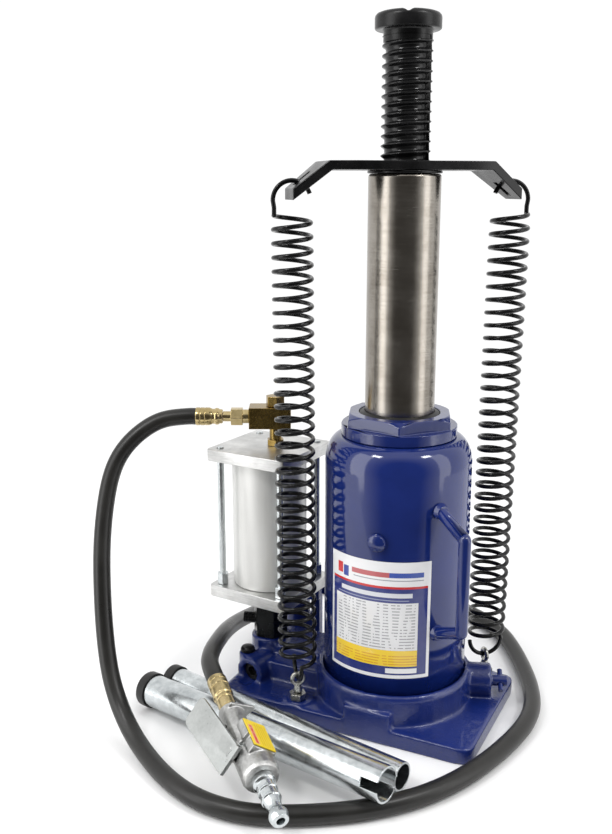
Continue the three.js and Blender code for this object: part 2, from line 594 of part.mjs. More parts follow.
function addEyebolt(suffix, side) {
  const place = new THREE.Matrix4().setPosition(side * EYE_X, side * EYE_Y, 0);
  const facing = new THREE.Matrix4().makeRotationZ(rad(BAR_ANGLE) + QUARTER[suffix] * Math.PI * 2);
  const eyeRadius = 4.3;
  const rod = 1.6;
  const loop = new THREE.TorusGeometry(eyeRadius, rod, 6, 16);
  loop.rotateY(Math.PI / 2);
  loop.translate(0, 0, EYE_Z);
  let body = solid(loop).add(disc(2.6, 2, EYE_Z - eyeRadius, 12));
  body = moved(body, facing);
  addPiece(`eyebolt_${suffix}`, 'zinc', moved(body, place));
  const low = BASE_PLATE + 1.5 + GAP;
  let nut = raised(circleOutline(6.6, 6, rad(10)), low, low + 5);
  nut = nut.subtract(disc(2.6 + GAP, low - 1, low + 6, 12));
  addPiece(`eyebolt_nut_${suffix}`, 'zinc', moved(nut, place));
}

// ---------------------------------------------------------------- air motor
const motorFrame = new THREE.Matrix4().makeRotationZ(rad(MOTOR_TURN)).setPosition(MOTOR_X, MOTOR_Y, 0);
const ROD_AT = MOTOR_SIDE / 2 - MOTOR_INSET;
const LOWER_TOP = MOTOR_LOW + MOTOR_PLATE;
const UPPER_LOW = MOTOR_HIGH - MOTOR_PLATE;
const GLAND_RADIUS = 10;
const PLUNGER_RADIUS = 6;
const MOTOR_PISTON_LOW = 152;
const MOTOR_SPRING_LOW = LOWER_TOP + GAP;
const MOTOR_SPRING_HIGH = MOTOR_PISTON_LOW - GAP;
const INLET_RADIUS = 5;
const INLET_X = MOTOR_X + 4.5;
const INLET_Y = -2;
const inletFrame = new THREE.Matrix4().setPosition(INLET_X, INLET_Y, 0);

function rodCorners() {
  return [[-ROD_AT, -ROD_AT], [ROD_AT, -ROD_AT], [ROD_AT, ROD_AT], [-ROD_AT, ROD_AT]];
}

function addMotor() {
  const half = MOTOR_SIDE / 2;
  const outline = roundedOutline(-half, half, -half, half, 3, 2);
  let lower = raised(outline, MOTOR_LOW, LOWER_TOP);
  lower = lower.subtract(disc(GLAND_RADIUS + GAP, MOTOR_LOW - 1, LOWER_TOP + 1, 24));
  let upper = raised(outline, UPPER_LOW, MOTOR_HIGH);
  rodCorners().forEach(([x, y], i) => {
    const at = new THREE.Matrix4().setPosition(x, y, 0);
    lower = lower.subtract(moved(disc(2.6 + GAP, MOTOR_LOW - 1, LOWER_TOP + 1, 12), at));
    upper = upper.subtract(moved(disc(2.6 + GAP, UPPER_LOW - 1, MOTOR_HIGH + 1, 12), at));
    const rod = disc(2.6, MOTOR_LOW + 0.5, MOTOR_HIGH + 1, 12);
    const nut = raised(circleOutline(4.6, 6), LOWER_TOP + GAP, LOWER_TOP + 9);
    addPiece(`motor_tie_rod_${i + 1}`, 'zinc', moved(moved(rod.add(nut), at), motorFrame));
  });
  addPiece('motor_lower_plate', 'aluminium', moved(lower, motorFrame));
  const inlet = moved(disc(INLET_RADIUS, UPPER_LOW - 1, MOTOR_HIGH + 1, 16), inletFrame);
  addPiece('motor_upper_plate', 'aluminium', moved(upper, motorFrame).subtract(inlet));
  const wall = 2;
  const bore = MOTOR_CYLINDER_RADIUS - wall;
  const barrel = ring(bore, MOTOR_CYLINDER_RADIUS, LOWER_TOP + GAP, UPPER_LOW - GAP, 32);
  addPiece('motor_cylinder', 'aluminium', moved(barrel, motorFrame));
  const pistonRadius = bore - GAP;
  const piston = turned([
    [0, 66], [PLUNGER_RADIUS, 66], [PLUNGER_RADIUS, MOTOR_PISTON_LOW], [pistonRadius, MOTOR_PISTON_LOW],
    [pistonRadius, MOTOR_PISTON_LOW + 14], [0, MOTOR_PISTON_LOW + 14],
  ], 32).add(disc(PLUNGER_RADIUS, 52, 67, 32));
  addPiece('motor_piston', 'aluminium', moved(piston, motorFrame));
  const turns = 6;
  const steps = turns * 8;
  const points = [];
  for (let i = 0; i <= steps; i += 1) {
    const a = (i / 8) * Math.PI * 2;
    const rise = (MOTOR_SPRING_HIGH - MOTOR_SPRING_LOW - 2.4) * i / steps;
    points.push(v3(15 * Math.cos(a), 15 * Math.sin(a), MOTOR_SPRING_LOW + 1.2 + rise));
  }
  const coil = wire(points, 1.1, 4);
  coil.applyMatrix4(motorFrame);
  addPiece('motor_return_spring', 'steel', coil);
  // the gland nut joins the motor to the pump column and guides the plunger
  let gland = disc(GLAND_RADIUS, 28 + GAP, LOWER_TOP, 24);
  gland = gland.add(raised(circleOutline(14.4, 6, rad(12)), COLUMN_TOP + GAP, MOTOR_LOW - GAP));
  gland = gland.add(moved(disc(4.6, 0, 12, 12), along(v3(-9, -4, 50), v3(-0.9, -0.42, 0))));
  gland = gland.subtract(disc(PLUNGER_RADIUS + GAP, 20, 100, 24));
  addPiece('pump_gland_nut', 'black', moved(gland, motorFrame));
}

// ---------------------------------------------------------------- air inlet, hose ends
const inletLine = v3(-0.898, -0.44, 0);
const BLOCK_LOW = 209.5;
const BLOCK_HIGH = 226;
const BLOCK_HALF_DEPTH = 9;
const BLOCK_LEFT = 20;            // from the inlet axis to the hose face
const BLOCK_RIGHT = 12;
const HOSE_Z = 217.7;

function addInlet() {
  const turn = Math.atan2(inletLine.y, inletLine.x);
  const frame = new THREE.Matrix4().makeRotationZ(turn).setPosition(INLET_X, INLET_Y, 0);
  let nipple = disc(INLET_RADIUS - 0.4, MOTOR_HIGH - 7, BLOCK_LOW + 4, 16);
  nipple = nipple.add(raised(circleOutline(7, 6), MOTOR_HIGH + GAP, MOTOR_HIGH + 5));
  nipple = nipple.subtract(disc(2, 150, 250, 12));
  addPiece('inlet_nipple', 'brass', moved(nipple, inletFrame));
  let body = block(-BLOCK_RIGHT, BLOCK_LEFT, -BLOCK_HALF_DEPTH, BLOCK_HALF_DEPTH, BLOCK_LOW, BLOCK_HIGH);
  body = body.subtract(disc(INLET_RADIUS - 0.4 + GAP, 200, 240, 16));
  const side = along(v3(0, 0, HOSE_Z), v3(1, 0, 0));
  body = body.subtract(moved(disc(4 + GAP, 2, 40, 16), side));
  addPiece('inlet_block', 'brass', moved(body, frame));
  let plug = disc(4.4, BLOCK_LOW + 10, BLOCK_HIGH + 2, 16);
  plug = plug.add(raised(circleOutline(7.4, 6, rad(8)), BLOCK_HIGH + GAP, BLOCK_HIGH + 8));
  addPiece('inlet_top_plug', 'brass', moved(plug, inletFrame));
  let union = disc(4, 8, 40, 16).add(raised(circleOutline(7.2, 6, rad(30)), 0, 9)
    .transform(new THREE.Matrix4().setPosition(0, 0, 25).elements));
  union = union.add(disc(5.4, BLOCK_LEFT + GAP, 26, 16));
  union = union.subtract(disc(1.8, 0, 60, 12));
  addPiece('hose_union', 'brass', moved(moved(union, side), frame));
  const shell = turned([
    [1.8, 40 + GAP], [5.6, 40 + GAP], [6.4, 42], [6.2, 52], [7, 54], [7, 61], [1.8, 61],
  ], 20);
  addPiece('hose_ferrule_jack', 'brass', moved(moved(shell, side), frame));
}

// ---------------------------------------------------------------- hand air valve
const VALVE_START = v3(-86.5, -113, 44.5);
const VALVE_END = v3(3, -196.5, 22);
const valveLine = VALVE_END.clone().sub(VALVE_START).normalize();
const VALVE_ROLL = rad(35);
const levelRight = v3(-valveLine.y, valveLine.x, 0).normalize();
const valveRight = levelRight.clone().applyAxisAngle(valveLine, -VALVE_ROLL);
const valveUp = valveLine.clone().cross(valveRight);
// local axes of the valve: x away from its lever, y towards its sticker, z from the hose to the nipple
const valveFrame = new THREE.Matrix4().makeBasis(valveRight, valveUp, valveLine).setPosition(VALVE_START);
const LEVER_HINGE = v3(-8.4, -3, 64);
const LEVER_PIN_RADIUS = 1.6;
const LEVER_PIN_HALF = 6.6;
const LEVER_THICK = 2;
const LEVER_HALF_WIDTH = 11;
const LEVER_LENGTH = 54;
const leverStart = v3(-23.1, -10.5, 18);
const leverEnd = v3(-13.8, -6, 71.2);
const PLUNGER_Z = 40;
const PLUNGER_BORE_RADIUS = 2.6 + GAP;
const STICKER_LOW = 13;
const hingeFrame = along(LEVER_HINGE, v3(0, 1, 0));
const plungerFrame = along(v3(0, -4, PLUNGER_Z), v3(-1, 0, 0));

function addValve() {
  const shell = turned([
    [1.8, -11], [7, -11], [7.2, 0], [7.2, 12], [1.8, 12],
  ], 20);
  addPiece('hose_ferrule_valve', 'brass', moved(shell, valveFrame));
  let adapter = disc(6.4, 12 + GAP, 23, 16).add(disc(4, 22, 31, 16));
  adapter = adapter.subtract(disc(1.8, 0, 60, 12));
  addPiece('valve_adapter', 'brass', moved(adapter, valveFrame));
  const offset = new THREE.Matrix4().setPosition(3, 0, 0);
  let body = disc(8.6, 23 + GAP, 60, 20);
  const barrel = turned([[0, 48], [9, 48], [12.6, 60], [12.6, 84], [11.4, 87], [0, 87]], 24);
  body = body.add(moved(barrel, offset));
  body = body.add(block(-9, 10, 6.5, STICKER_LOW - GAP, 48, 75));
  const { y: hingeY, z: hingeZ } = LEVER_HINGE;
  body = body.add(block(-10.9, 0, hingeY - 5, hingeY + 5, hingeZ - 4.2, hingeZ + 4.2));
  // thin guard over the hose end of the valve
  const guard = [[-7, -2], [8, -2], [12.5, 11.5], [10, 12.5], [-7.5, 9]];
  body = body.add(raised(guard, 26, 28));
  body = body.subtract(disc(4 + GAP, 20, 32 + GAP, 16));
  body = body.subtract(moved(disc(5 + GAP, 76, 90, 16), offset));
  body = body.subtract(moved(disc(PLUNGER_BORE_RADIUS, 0, 16, 12), plungerFrame));
  body = body.subtract(moved(disc(LEVER_PIN_RADIUS + GAP, -20, 20, 10), hingeFrame));
  // slot in which the root of the lever turns
  body = body.subtract(block(-20, -5, hingeY - 3, hingeY + 3, hingeZ - 6, hingeZ + 6));
  addPiece('air_valve_body', 'aluminium', moved(body, valveFrame));
  addPiece('valve_plunger', 'steel', moved(moved(disc(2.6, 4, 16, 12), plungerFrame), valveFrame));
  const pin = moved(disc(LEVER_PIN_RADIUS, -LEVER_PIN_HALF, LEVER_PIN_HALF, 10), hingeFrame);
  addPiece('lever_pin', 'zinc', moved(pin, valveFrame));
  addLever();
  const nipple = turned([
    [2.6, 77], [5, 77], [5, 87 + GAP], [7.4, 87 + GAP], [7.4, 92], [6, 94], [6, 108], [5, 110],
    [4.6, 114], [6.2, 117], [6.2, 119.5], [5.4, 122.6], [2.6, 122.6],
  ], 20);
  addPiece('air_nipple', 'zinc', moved(moved(nipple, offset), valveFrame));
  const sticker = block(-8.6, 9.6, STICKER_LOW, STICKER_LOW + 0.6, 49, 74);
  addPiece('air_valve_sticker', 'yellow', moved(sticker, valveFrame));
}

// A bent sheet: a finger plate with a folded end, and a root that turns on the pin.
function addLever() {
  const outline = roundedOutline(-LEVER_HALF_WIDTH, LEVER_HALF_WIDTH, 0, LEVER_LENGTH, 4, 3);
  let plate = raised(outline, -LEVER_THICK, 0);
  plate = plate.add(block(-LEVER_HALF_WIDTH, LEVER_HALF_WIDTH, LEVER_LENGTH - 2, LEVER_LENGTH, -3.2, 0));
  const run = leverEnd.clone().sub(leverStart).normalize();
  const outward = v3(-1, 0, 0).addScaledVector(run, run.x).normalize();
  const width = run.clone().cross(outward);
  const frame = new THREE.Matrix4().makeBasis(width, run, outward).setPosition(leverStart);
  const { y: hingeY, z: hingeZ } = LEVER_HINGE;
  const root = block(-15, -5.6, hingeY - 2.6, hingeY + 2.6, hingeZ - 2.7, hingeZ + 2.7);
  const bore = moved(disc(LEVER_PIN_RADIUS + GAP, -10, 10, 10), hingeFrame);
  addPiece('air_valve_lever', 'zinc', moved(moved(plate, frame).add(root.subtract(bore)), valveFrame));
}

// ---------------------------------------------------------------- air hose
// spots on the floor loop and on its two rises, from the inlet block to the hand valve
const HOSE_POINTS = [
  [-178.5, -41.2, 215.2], [-191.8, -53.3, 205.5], [-200.5, -65, 191.6], [-203.3, -75.5, 174.6],
  [-202, -86.5, 150], [-197.5, -97.5, 124], [-190.5, -108, 96], [-182, -118, 68], [-171, -127.5, 42],
  [-154.5, -137, 21.5], [-130, -150.5, 9.4], [-97, -168.5, 6.6], [-64, -180, 6.6], [-33, -179.5, 6.6],
  [-8, -170.5, 6.6], [19, -155, 6.6], [41, -138, 6.6], [64, -113, 6.6], [82, -81, 6.6], [95, -42, 6.6],
  [102.5, -4, 6.6], [102, 26, 6.6], [94.5, 54, 6.6], [82, 83, 6.6], [65, 115, 6.6], [46, 142, 6.6],
  [20, 163, 6.6], [-20, 181, 6.6], [-70, 190, 6.6], [-111, 182.5, 6.6], [-138, 161, 6.6], [-153, 130, 7],
  [-157.5, 104, 9], [-157, 78, 13.5], [-153.5, 53, 20], [-149, 28, 27], [-143, 2, 34.3], [-135.5, -24, 41],
  [-127.5, -48, 45.6], [-119.5, -70.5, 48.6], [-111, -88.2, 49.3],
];

function addHose() {
  const ferruleEnd = inletLine.clone().multiplyScalar(61 + GAP);
  const start = v3(INLET_X, INLET_Y, HOSE_Z).add(ferruleEnd);
  const end = VALVE_START.clone().addScaledVector(valveLine, -11 - GAP);
  const points = [start, start.clone().addScaledVector(inletLine, 6)];
  HOSE_POINTS.forEach(([x, y, z]) => points.push(v3(x, y, z)));
  points.push(end.clone().addScaledVector(valveLine, -8), end);
  addPiece('air_hose', 'rubber', wire(points, HOSE_RADIUS, 8));
}

// ---------------------------------------------------------------- pump handle in two tubes
// the rear tube lies against the base, and the front tube beside it
const REAR_CAP_END = v3(-162, -BASE_HALF_DEPTH + 6.5 - TUBE_REAR_RADIUS, TUBE_REAR_RADIUS + 2);
const REAR_OPEN_END = v3(48, -BASE_HALF_DEPTH - 37 - TUBE_REAR_RADIUS, TUBE_REAR_RADIUS + 2);
const TUBES_APART = TUBE_FRONT_RADIUS + TUBE_REAR_RADIUS;
const FRONT_CAP_END = v3(-167.1, REAR_CAP_END.y - TUBES_APART - 2.6, TUBE_FRONT_RADIUS + 2.2);
const FRONT_OPEN_END = v3(49, REAR_OPEN_END.y - TUBES_APART - 9, TUBE_FRONT_RADIUS + 13.4);

const NOTCH_TURN = 60;

function addHandleTube(suffix, start, end, radius, notched) {
  const line = end.clone().sub(start);
  const length = line.length();
  const frame = along(start, line);
  let body = ring(radius - TUBE_WALL, radius, 3, length, 28);
  if (notched) {
    // open notch that locks over the cross pin of the release screw
    const across = new THREE.Matrix4().makeRotationZ(rad(NOTCH_TURN));
    body = body.subtract(moved(block(-30, 0, -3.2, 3.2, length - 13, length + 5), across));
    body = body.subtract(moved(block(0, 30, -3.2, 3.2, length - 13, length + 5), across));
  }
  addPiece(`handle_tube_${suffix}`, 'zinc', moved(body, frame));
  const cap = turned([
    [0, -0.5], [radius + 0.4, -0.5], [radius + 1.1, 0.8], [radius + 1.1, 8], [radius + GAP, 8],
    [radius + GAP, 2.6], [0, 2.6],
  ], 28);
  addPiece(`handle_cap_${suffix}`, 'rubber', moved(cap, frame));
}

// ---------------------------------------------------------------- hand pump
const SOCKET_TILT = 28;           // degrees above level
const SOCKET_BORE = TUBE_REAR_RADIUS + 0.5;
const SOCKET_RADIUS = SOCKET_BORE + 1.5;
const SOCKET_LENGTH = 62;
function addHandPump() {
  let plunger = disc(6, 24, PUMP_PIVOT_Z + 6, 20);
  plunger = plunger.subtract(block(-8, 8, 2.7, 9, PUMP_PIVOT_Z - 12, 80));
  plunger = plunger.subtract(block(-8, 8, -9, -2.7, PUMP_PIVOT_Z - 12, 80));
  const eyeHalf = 2.5 + GAP;
  const eyeLow = PUMP_PIVOT_Z - eyeHalf;
  plunger = plunger.subtract(block(-eyeHalf, eyeHalf + 1.4, -9, 9, eyeLow, PUMP_PIVOT_Z + eyeHalf));
  addPiece('hand_pump_plunger', 'steel', moved(plunger, pumpFrame));
  const pivot = v3(PUMP_PIVOT_X, PUMP_Y, PUMP_PIVOT_Z);
  const tilt = rad(SOCKET_TILT);
  const line = v3(-Math.cos(tilt), 0, Math.sin(tilt));
  const frame = along(pivot.clone().addScaledVector(line, 36), line);
  let tube = disc(SOCKET_RADIUS, 0, SOCKET_LENGTH - 20, 28);
  tube = tube.subtract(disc(SOCKET_BORE, 5, SOCKET_LENGTH, 28));
  let body = moved(tube, frame);
  // two cheeks reach forward from the socket over the plunger to the fixed pivot
  for (const side of [-1, 1]) {
    const outline = [
      [6, -6], [6, 6], [-14, 7], [-36, 25], [-42, 14], [-24, -7.5], [-14, -9],
    ];
    const cheek = raised(outline, side * 7 - 2.4, side * 7 + 2.4);
    const stand = new THREE.Matrix4().makeRotationX(Math.PI / 2).setPosition(pivot);
    body = body.add(moved(cheek, stand));
  }
  const cross = (x, z, radius) => moved(disc(radius, -30, 30, 12), along(v3(x, PUMP_Y, z), v3(0, 1, 0)));
  body = body.subtract(cross(PUMP_PIVOT_X, PUMP_PIVOT_Z, 2.5 + GAP));
  body = body.subtract(cross(PUMP_X, PUMP_PIVOT_Z, 2.5 + GAP));
  addPiece('handle_socket', 'blue', body);
  const pin = (x, z) => moved(disc(2.5, -10.5, 10.5, 12), along(v3(x, PUMP_Y, z), v3(0, 1, 0)));
  addPiece('socket_pivot_pin', 'zinc', pin(PUMP_PIVOT_X, PUMP_PIVOT_Z));
  addPiece('plunger_pin', 'zinc', pin(PUMP_X, PUMP_PIVOT_Z));
}

addBase();
addReleaseValve();
addBasePlugs();
addTank();
addLabel();
addCylinderAndCap();
addRam();
addScrew();
addHandle();
addBar();
addSpring('left', -1);
addSpring('right', 1);
addEyebolt('left', -1);
addEyebolt('right', 1);
addMotor();
addInlet();
addValve();
addHose();
addHandleTube('front', FRONT_CAP_END, FRONT_OPEN_END, TUBE_FRONT_RADIUS, true);
addHandleTube('rear', REAR_CAP_END, REAR_OPEN_END, TUBE_REAR_RADIUS, false);
addHandPump();

export default part;
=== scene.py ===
# %% [markdown]
# # An air and hand operated bottle jack
# The jack stands on a cast base. A tank with a shoulder holds the oil, a ground steel ram comes
# out of it, and a black screw comes out of the ram. Two long springs pull the ram back down, an
# air motor stands on the left, and its hose runs round the jack to a hand valve. The two tubes
# of the pump handle lie in front. Every number is in metres unless its name ends in _mm.
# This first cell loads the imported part, which gives each piece its place.

# %% Load the part
import json
import math
from collections import Counter
import bmesh
import bpy
from mathutils import Matrix, Vector


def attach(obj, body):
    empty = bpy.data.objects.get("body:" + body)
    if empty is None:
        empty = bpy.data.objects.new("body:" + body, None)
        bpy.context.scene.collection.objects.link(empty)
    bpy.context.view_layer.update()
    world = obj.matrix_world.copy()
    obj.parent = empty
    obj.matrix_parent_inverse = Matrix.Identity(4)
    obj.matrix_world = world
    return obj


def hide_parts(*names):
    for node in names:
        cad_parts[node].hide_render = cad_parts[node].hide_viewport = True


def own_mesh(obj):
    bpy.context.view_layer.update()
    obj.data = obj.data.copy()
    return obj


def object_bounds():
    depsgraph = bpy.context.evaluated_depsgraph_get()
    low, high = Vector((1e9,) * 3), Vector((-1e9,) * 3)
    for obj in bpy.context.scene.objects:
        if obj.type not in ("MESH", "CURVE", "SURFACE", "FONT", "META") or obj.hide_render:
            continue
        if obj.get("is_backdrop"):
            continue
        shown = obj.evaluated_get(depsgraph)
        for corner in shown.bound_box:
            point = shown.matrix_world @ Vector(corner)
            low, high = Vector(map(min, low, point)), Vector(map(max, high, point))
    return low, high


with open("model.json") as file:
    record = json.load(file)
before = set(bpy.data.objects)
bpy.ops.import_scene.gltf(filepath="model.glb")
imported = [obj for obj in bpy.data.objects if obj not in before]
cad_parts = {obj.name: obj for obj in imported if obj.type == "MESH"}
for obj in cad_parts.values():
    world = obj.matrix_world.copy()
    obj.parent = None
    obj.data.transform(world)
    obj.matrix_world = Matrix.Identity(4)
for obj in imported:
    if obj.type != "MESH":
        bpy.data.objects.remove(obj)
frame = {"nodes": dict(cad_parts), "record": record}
nodes = frame["nodes"]
cad_box = [list(corner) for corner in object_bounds()]
body_of_node = {n: b for b, group in frame["record"]["behaviour"]["bodies"].items() for n in group}
MM = 0.001
UP = Vector((0, 0, 1))
print(len(nodes), "pieces, from", [round(v, 3) for v in cad_box[0]], "to", [round(v, 3) for v in cad_box[1]])

# %% [markdown]
# ## Shader maths written as Python
# A material is a small graph of nodes. Writing the graph by hand hides what it does, so a value in
# the graph is wrapped in a class whose +, -, * and / add the Math nodes. All other nodes come from
# one method, which takes the node's type, its settings and what goes into its sockets.

# %% A value in a material, and the recipe that holds it
class Value:
    def __init__(self, recipe, socket):
        self.recipe = recipe
        self.socket = socket

    def maths(self, operation, first, second=0.0):
        return self.recipe.node("ShaderNodeMath", {"operation": operation}, {0: first, 1: second})

    def __add__(self, other):
        return self.maths("ADD", self, other)

    __radd__ = __add__

    def __sub__(self, other):
        return self.maths("SUBTRACT", self, other)

    def __rsub__(self, other):
        return self.maths("SUBTRACT", other, self)

    def __mul__(self, other):
        return self.maths("MULTIPLY", self, other)

    __rmul__ = __mul__

    def __truediv__(self, other):
        return self.maths("DIVIDE", self, other)

    def __rtruediv__(self, other):
        return self.maths("DIVIDE", other, self)

    def above(self, edge):
        return self.maths("GREATER_THAN", self, edge)

    def below(self, edge):
        return self.maths("LESS_THAN", self, edge)

    def within(self, low, high):
        return self.above(low) * self.below(high)

    def wrapped(self):
        return self.maths("FRACT", self)


class Recipe:
    def __init__(self, name):
        self.material = bpy.data.materials.new(name)
        self.material.use_nodes = True
        self.tree = self.material.node_tree
        self.shader = self.tree.nodes["Principled BSDF"]
        self.place = self.node("ShaderNodeTexCoord", output="Object")

    def node(self, kind, settings=None, inputs=None, output=0):
        made = self.tree.nodes.new(kind)
        for key, value in (settings or {}).items():
            if key == "stops":
                ramp = made.color_ramp
                while len(ramp.elements) < len(value):
                    ramp.elements.new(0.5)
                for element, (at, colour) in zip(ramp.elements, value):
                    element.position = at
                    element.color = (*colour, 1.0)
            else:
                setattr(made, key, value)
        for key, value in (inputs or {}).items():
            if isinstance(value, Value):
                self.tree.links.new(value.socket, made.inputs[key])
            else:
                made.inputs[key].default_value = value
        return Value(self, made.outputs[output])

    def noise(self, scale, detail=3.0, roughness=0.55, stretch=(1, 1, 1)):
        at = self.node("ShaderNodeMapping", None, {"Vector": self.place, "Scale": stretch})
        return self.node("ShaderNodeTexNoise", None,
                         {"Vector": at, "Scale": scale, "Detail": detail, "Roughness": roughness})

    def spread(self, value, low, high, to_low, to_high):
        return self.node("ShaderNodeMapRange", None, {0: value, 1: low, 2: high, 3: to_low, 4: to_high})

    def mix(self, share, first, second):
        colours = [c if isinstance(c, Value) else (*c, 1.0) for c in (first, second)]
        return self.node("ShaderNodeMix", {"data_type": "RGBA"}, {0: share, 6: colours[0], 7: colours[1]}, 2)

    def bump(self, height, strength, depth):
        made = self.node("ShaderNodeBump", None, {"Height": height, "Strength": strength, "Distance": depth})
        self.tree.links.new(made.socket, self.shader.inputs["Normal"])

    def finish(self, **sockets):
        for key, value in sockets.items():
            name = key.replace("_", " ").title().replace("Ior", "IOR")
            if isinstance(value, Value):
                self.tree.links.new(value.socket, self.shader.inputs[name])
            elif isinstance(value, tuple):
                self.shader.inputs[name].default_value = (*value, 1.0)
            else:
                self.shader.inputs[name].default_value = value
        return self.material


print("shader helpers ready")

# %% [markdown]
# ## Blue paint, smooth and cast
# The tank and cap are steel with a thick glossy enamel: deep blue below a clear, wet-looking
# surface with a faint orange peel. The base is a rough casting with the same enamel over it, so
# its bump is much coarser and its gloss is broken up. Both come from one function.

# %% Blue enamel
def blue_enamel(name, grain, peel, depth):
    r = Recipe(name)
    cloud = r.noise(18.0, 4.0)
    fine = r.noise(grain, 5.0, 0.6)
    speck = r.noise(grain * 0.32, 3.0, 0.5)
    tone = r.mix(r.spread(cloud, 0.35, 0.68, 0.0, 1.0), (0.0055, 0.0165, 0.118), (0.0085, 0.0225, 0.158))
    pits = r.spread(fine, 0.60, 0.74, 0.0, 0.75)
    tone = r.mix(pits * (peel * 1.1), tone, (0.028, 0.046, 0.22))
    rough = r.spread(cloud * 0.5 + fine * 0.5, 0.3, 0.7, 0.06 + peel * 0.10, 0.12 + peel * 0.24)
    r.bump(fine * 0.45 + speck * 0.55, peel, depth)
    return r.finish(base_color=tone, roughness=rough, specular_ior_level=0.5,
                    coat_weight=0.30, coat_roughness=0.04)


smooth_blue = blue_enamel("blue_enamel_smooth", 520.0, 0.05, 0.0006)
cast_blue = blue_enamel("blue_enamel_cast", 620.0, 0.52, 0.0011)
welded_blue = blue_enamel("blue_enamel_welded", 380.0, 0.20, 0.0008)
print("blue enamels:", smooth_blue.name, cast_blue.name, welded_blue.name)

# %% [markdown]
# ## Black finishes and rubber
# The screw, bar and springs are black: oil-blackened or enamelled steel with small sharp lights.
# The hose and caps are rubber, which is a little brown, rougher, and marked by its moulding.

# %% Black steel and rubber
def black_steel(name, grain, low, high, wear):
    r = Recipe(name)
    cloud = r.noise(60.0, 4.0)
    fine = r.noise(grain, 4.0)
    tone = r.mix(r.spread(cloud, 0.35, 0.7, 0.0, 1.0), (0.0030, 0.0030, 0.0032), (0.0085, 0.0085, 0.009))
    tone = r.mix(r.spread(fine, 0.66, 0.74, 0.0, wear), tone, (0.07, 0.065, 0.06))
    r.bump(fine * 0.7 + cloud * 0.3, 0.16, 0.0005)
    return r.finish(base_color=tone, roughness=r.spread(cloud, 0.35, 0.65, low, high),
                    specular_ior_level=0.26)


def rubber(name, dark, light, low, high):
    r = Recipe(name)
    cloud = r.noise(30.0, 4.0)
    fine = r.noise(900.0, 3.0)
    tone = r.mix(r.spread(cloud, 0.4, 0.75, 0.0, 1.0), dark, light)
    tone = r.mix(r.spread(r.noise(7.0, 2.0), 0.66, 0.72, 0.0, 0.35), tone, (0.05, 0.03, 0.012))
    r.bump(fine, 0.12, 0.0004)
    return r.finish(base_color=tone, roughness=r.spread(cloud, 0.3, 0.7, low, high), specular_ior_level=0.36)


black_gloss = black_steel("black_gloss_steel", 700.0, 0.10, 0.20, 0.10)
black_satin = black_steel("black_satin_steel", 480.0, 0.20, 0.34, 0.30)
hose_rubber = rubber("hose_rubber", (0.012, 0.0115, 0.0105), (0.022, 0.021, 0.019), 0.27, 0.38)
cap_rubber = rubber("cap_rubber", (0.008, 0.008, 0.008), (0.020, 0.020, 0.020), 0.40, 0.58)
print("black finishes and rubbers ready")

# %% [markdown]
# ## Bare and plated metals
# The ram is ground round and round, so its scratches are rings: the noise is squeezed along Z.
# Zinc plating has soft cloudy spangles, aluminium castings a grain, and brass a warm machined shine.

# %% Metals
def metal(name, dark, light, low, high, grain, strength, stretch=(1, 1, 1), stain=0.0):
    r = Recipe(name)
    cloud = r.noise(45.0, 4.0, 0.6)
    lines = r.noise(grain, 3.0, 0.6, stretch)
    tone = r.mix(r.spread(cloud * 0.6 + lines * 0.4, 0.36, 0.64, 0.0, 1.0), dark, light)
    if stain:
        spots = r.spread(r.noise(95.0, 5.0), 0.62, 0.72, 0.0, stain)
        tone = r.mix(spots, tone, tuple(c * 0.35 for c in dark))
    r.bump(lines, strength, 0.0004)
    return r.finish(base_color=tone, metallic=1.0,
                    roughness=r.spread(cloud * 0.4 + lines * 0.6, 0.3, 0.7, low, high))


ram_steel = metal("ground_steel", (0.23, 0.207, 0.178), (0.36, 0.335, 0.30), 0.15, 0.28,
                  60.0, 0.10, (1, 1, 45))
plain_steel = metal("plain_steel", (0.42, 0.41, 0.40), (0.60, 0.59, 0.57), 0.22, 0.36, 300.0, 0.10)
bright_zinc = metal("bright_zinc", (0.46, 0.49, 0.50), (0.74, 0.775, 0.785), 0.16, 0.30,
                    160.0, 0.10, stain=0.30)
dull_zinc = metal("dull_zinc", (0.30, 0.30, 0.28), (0.62, 0.61, 0.57), 0.20, 0.36, 380.0, 0.20, stain=0.5)
sheet_zinc = metal("sheet_zinc", (0.40, 0.415, 0.405), (0.50, 0.515, 0.505), 0.26, 0.36, 500.0, 0.05)
sawn_aluminium = metal("sawn_aluminium", (0.48, 0.48, 0.47), (0.78, 0.78, 0.77), 0.28, 0.48,
                       110.0, 0.30, (1, 1, 14))
cast_aluminium = metal("cast_aluminium", (0.34, 0.34, 0.33), (0.62, 0.62, 0.61), 0.30, 0.48,
                       420.0, 0.45, stain=0.35)
dark_brass = metal("block_brass", (0.20, 0.130, 0.036), (0.34, 0.235, 0.075), 0.20, 0.32, 300.0, 0.10)
bright_brass = metal("ferrule_brass", (0.42, 0.325, 0.15), (0.62, 0.50, 0.27), 0.16, 0.28, 260.0, 0.06)
print("metals ready")


# %% [markdown]
# ## The sleeve of the air motor
# The sleeve is a drawn aluminium tube with a soft satin skin. It is less mirror-like than the
# plates, and faint drawing lines run down it.

# %% The satin sleeve of the air motor
def satin_sleeve():
    r = Recipe("satin_sleeve")
    cloud = r.noise(26.0, 4.0)
    lines = r.noise(40.0, 4.0, 0.6, (1, 1, 0.12))
    share = r.spread(lines * 0.7 + cloud * 0.3, 0.35, 0.65, 0.0, 1.0)
    tone = r.mix(share, (0.60, 0.60, 0.58), (0.76, 0.76, 0.74))
    r.bump(lines, 0.05, 0.0004)
    return r.finish(base_color=tone, metallic=0.35, roughness=r.spread(cloud, 0.3, 0.7, 0.28, 0.40))


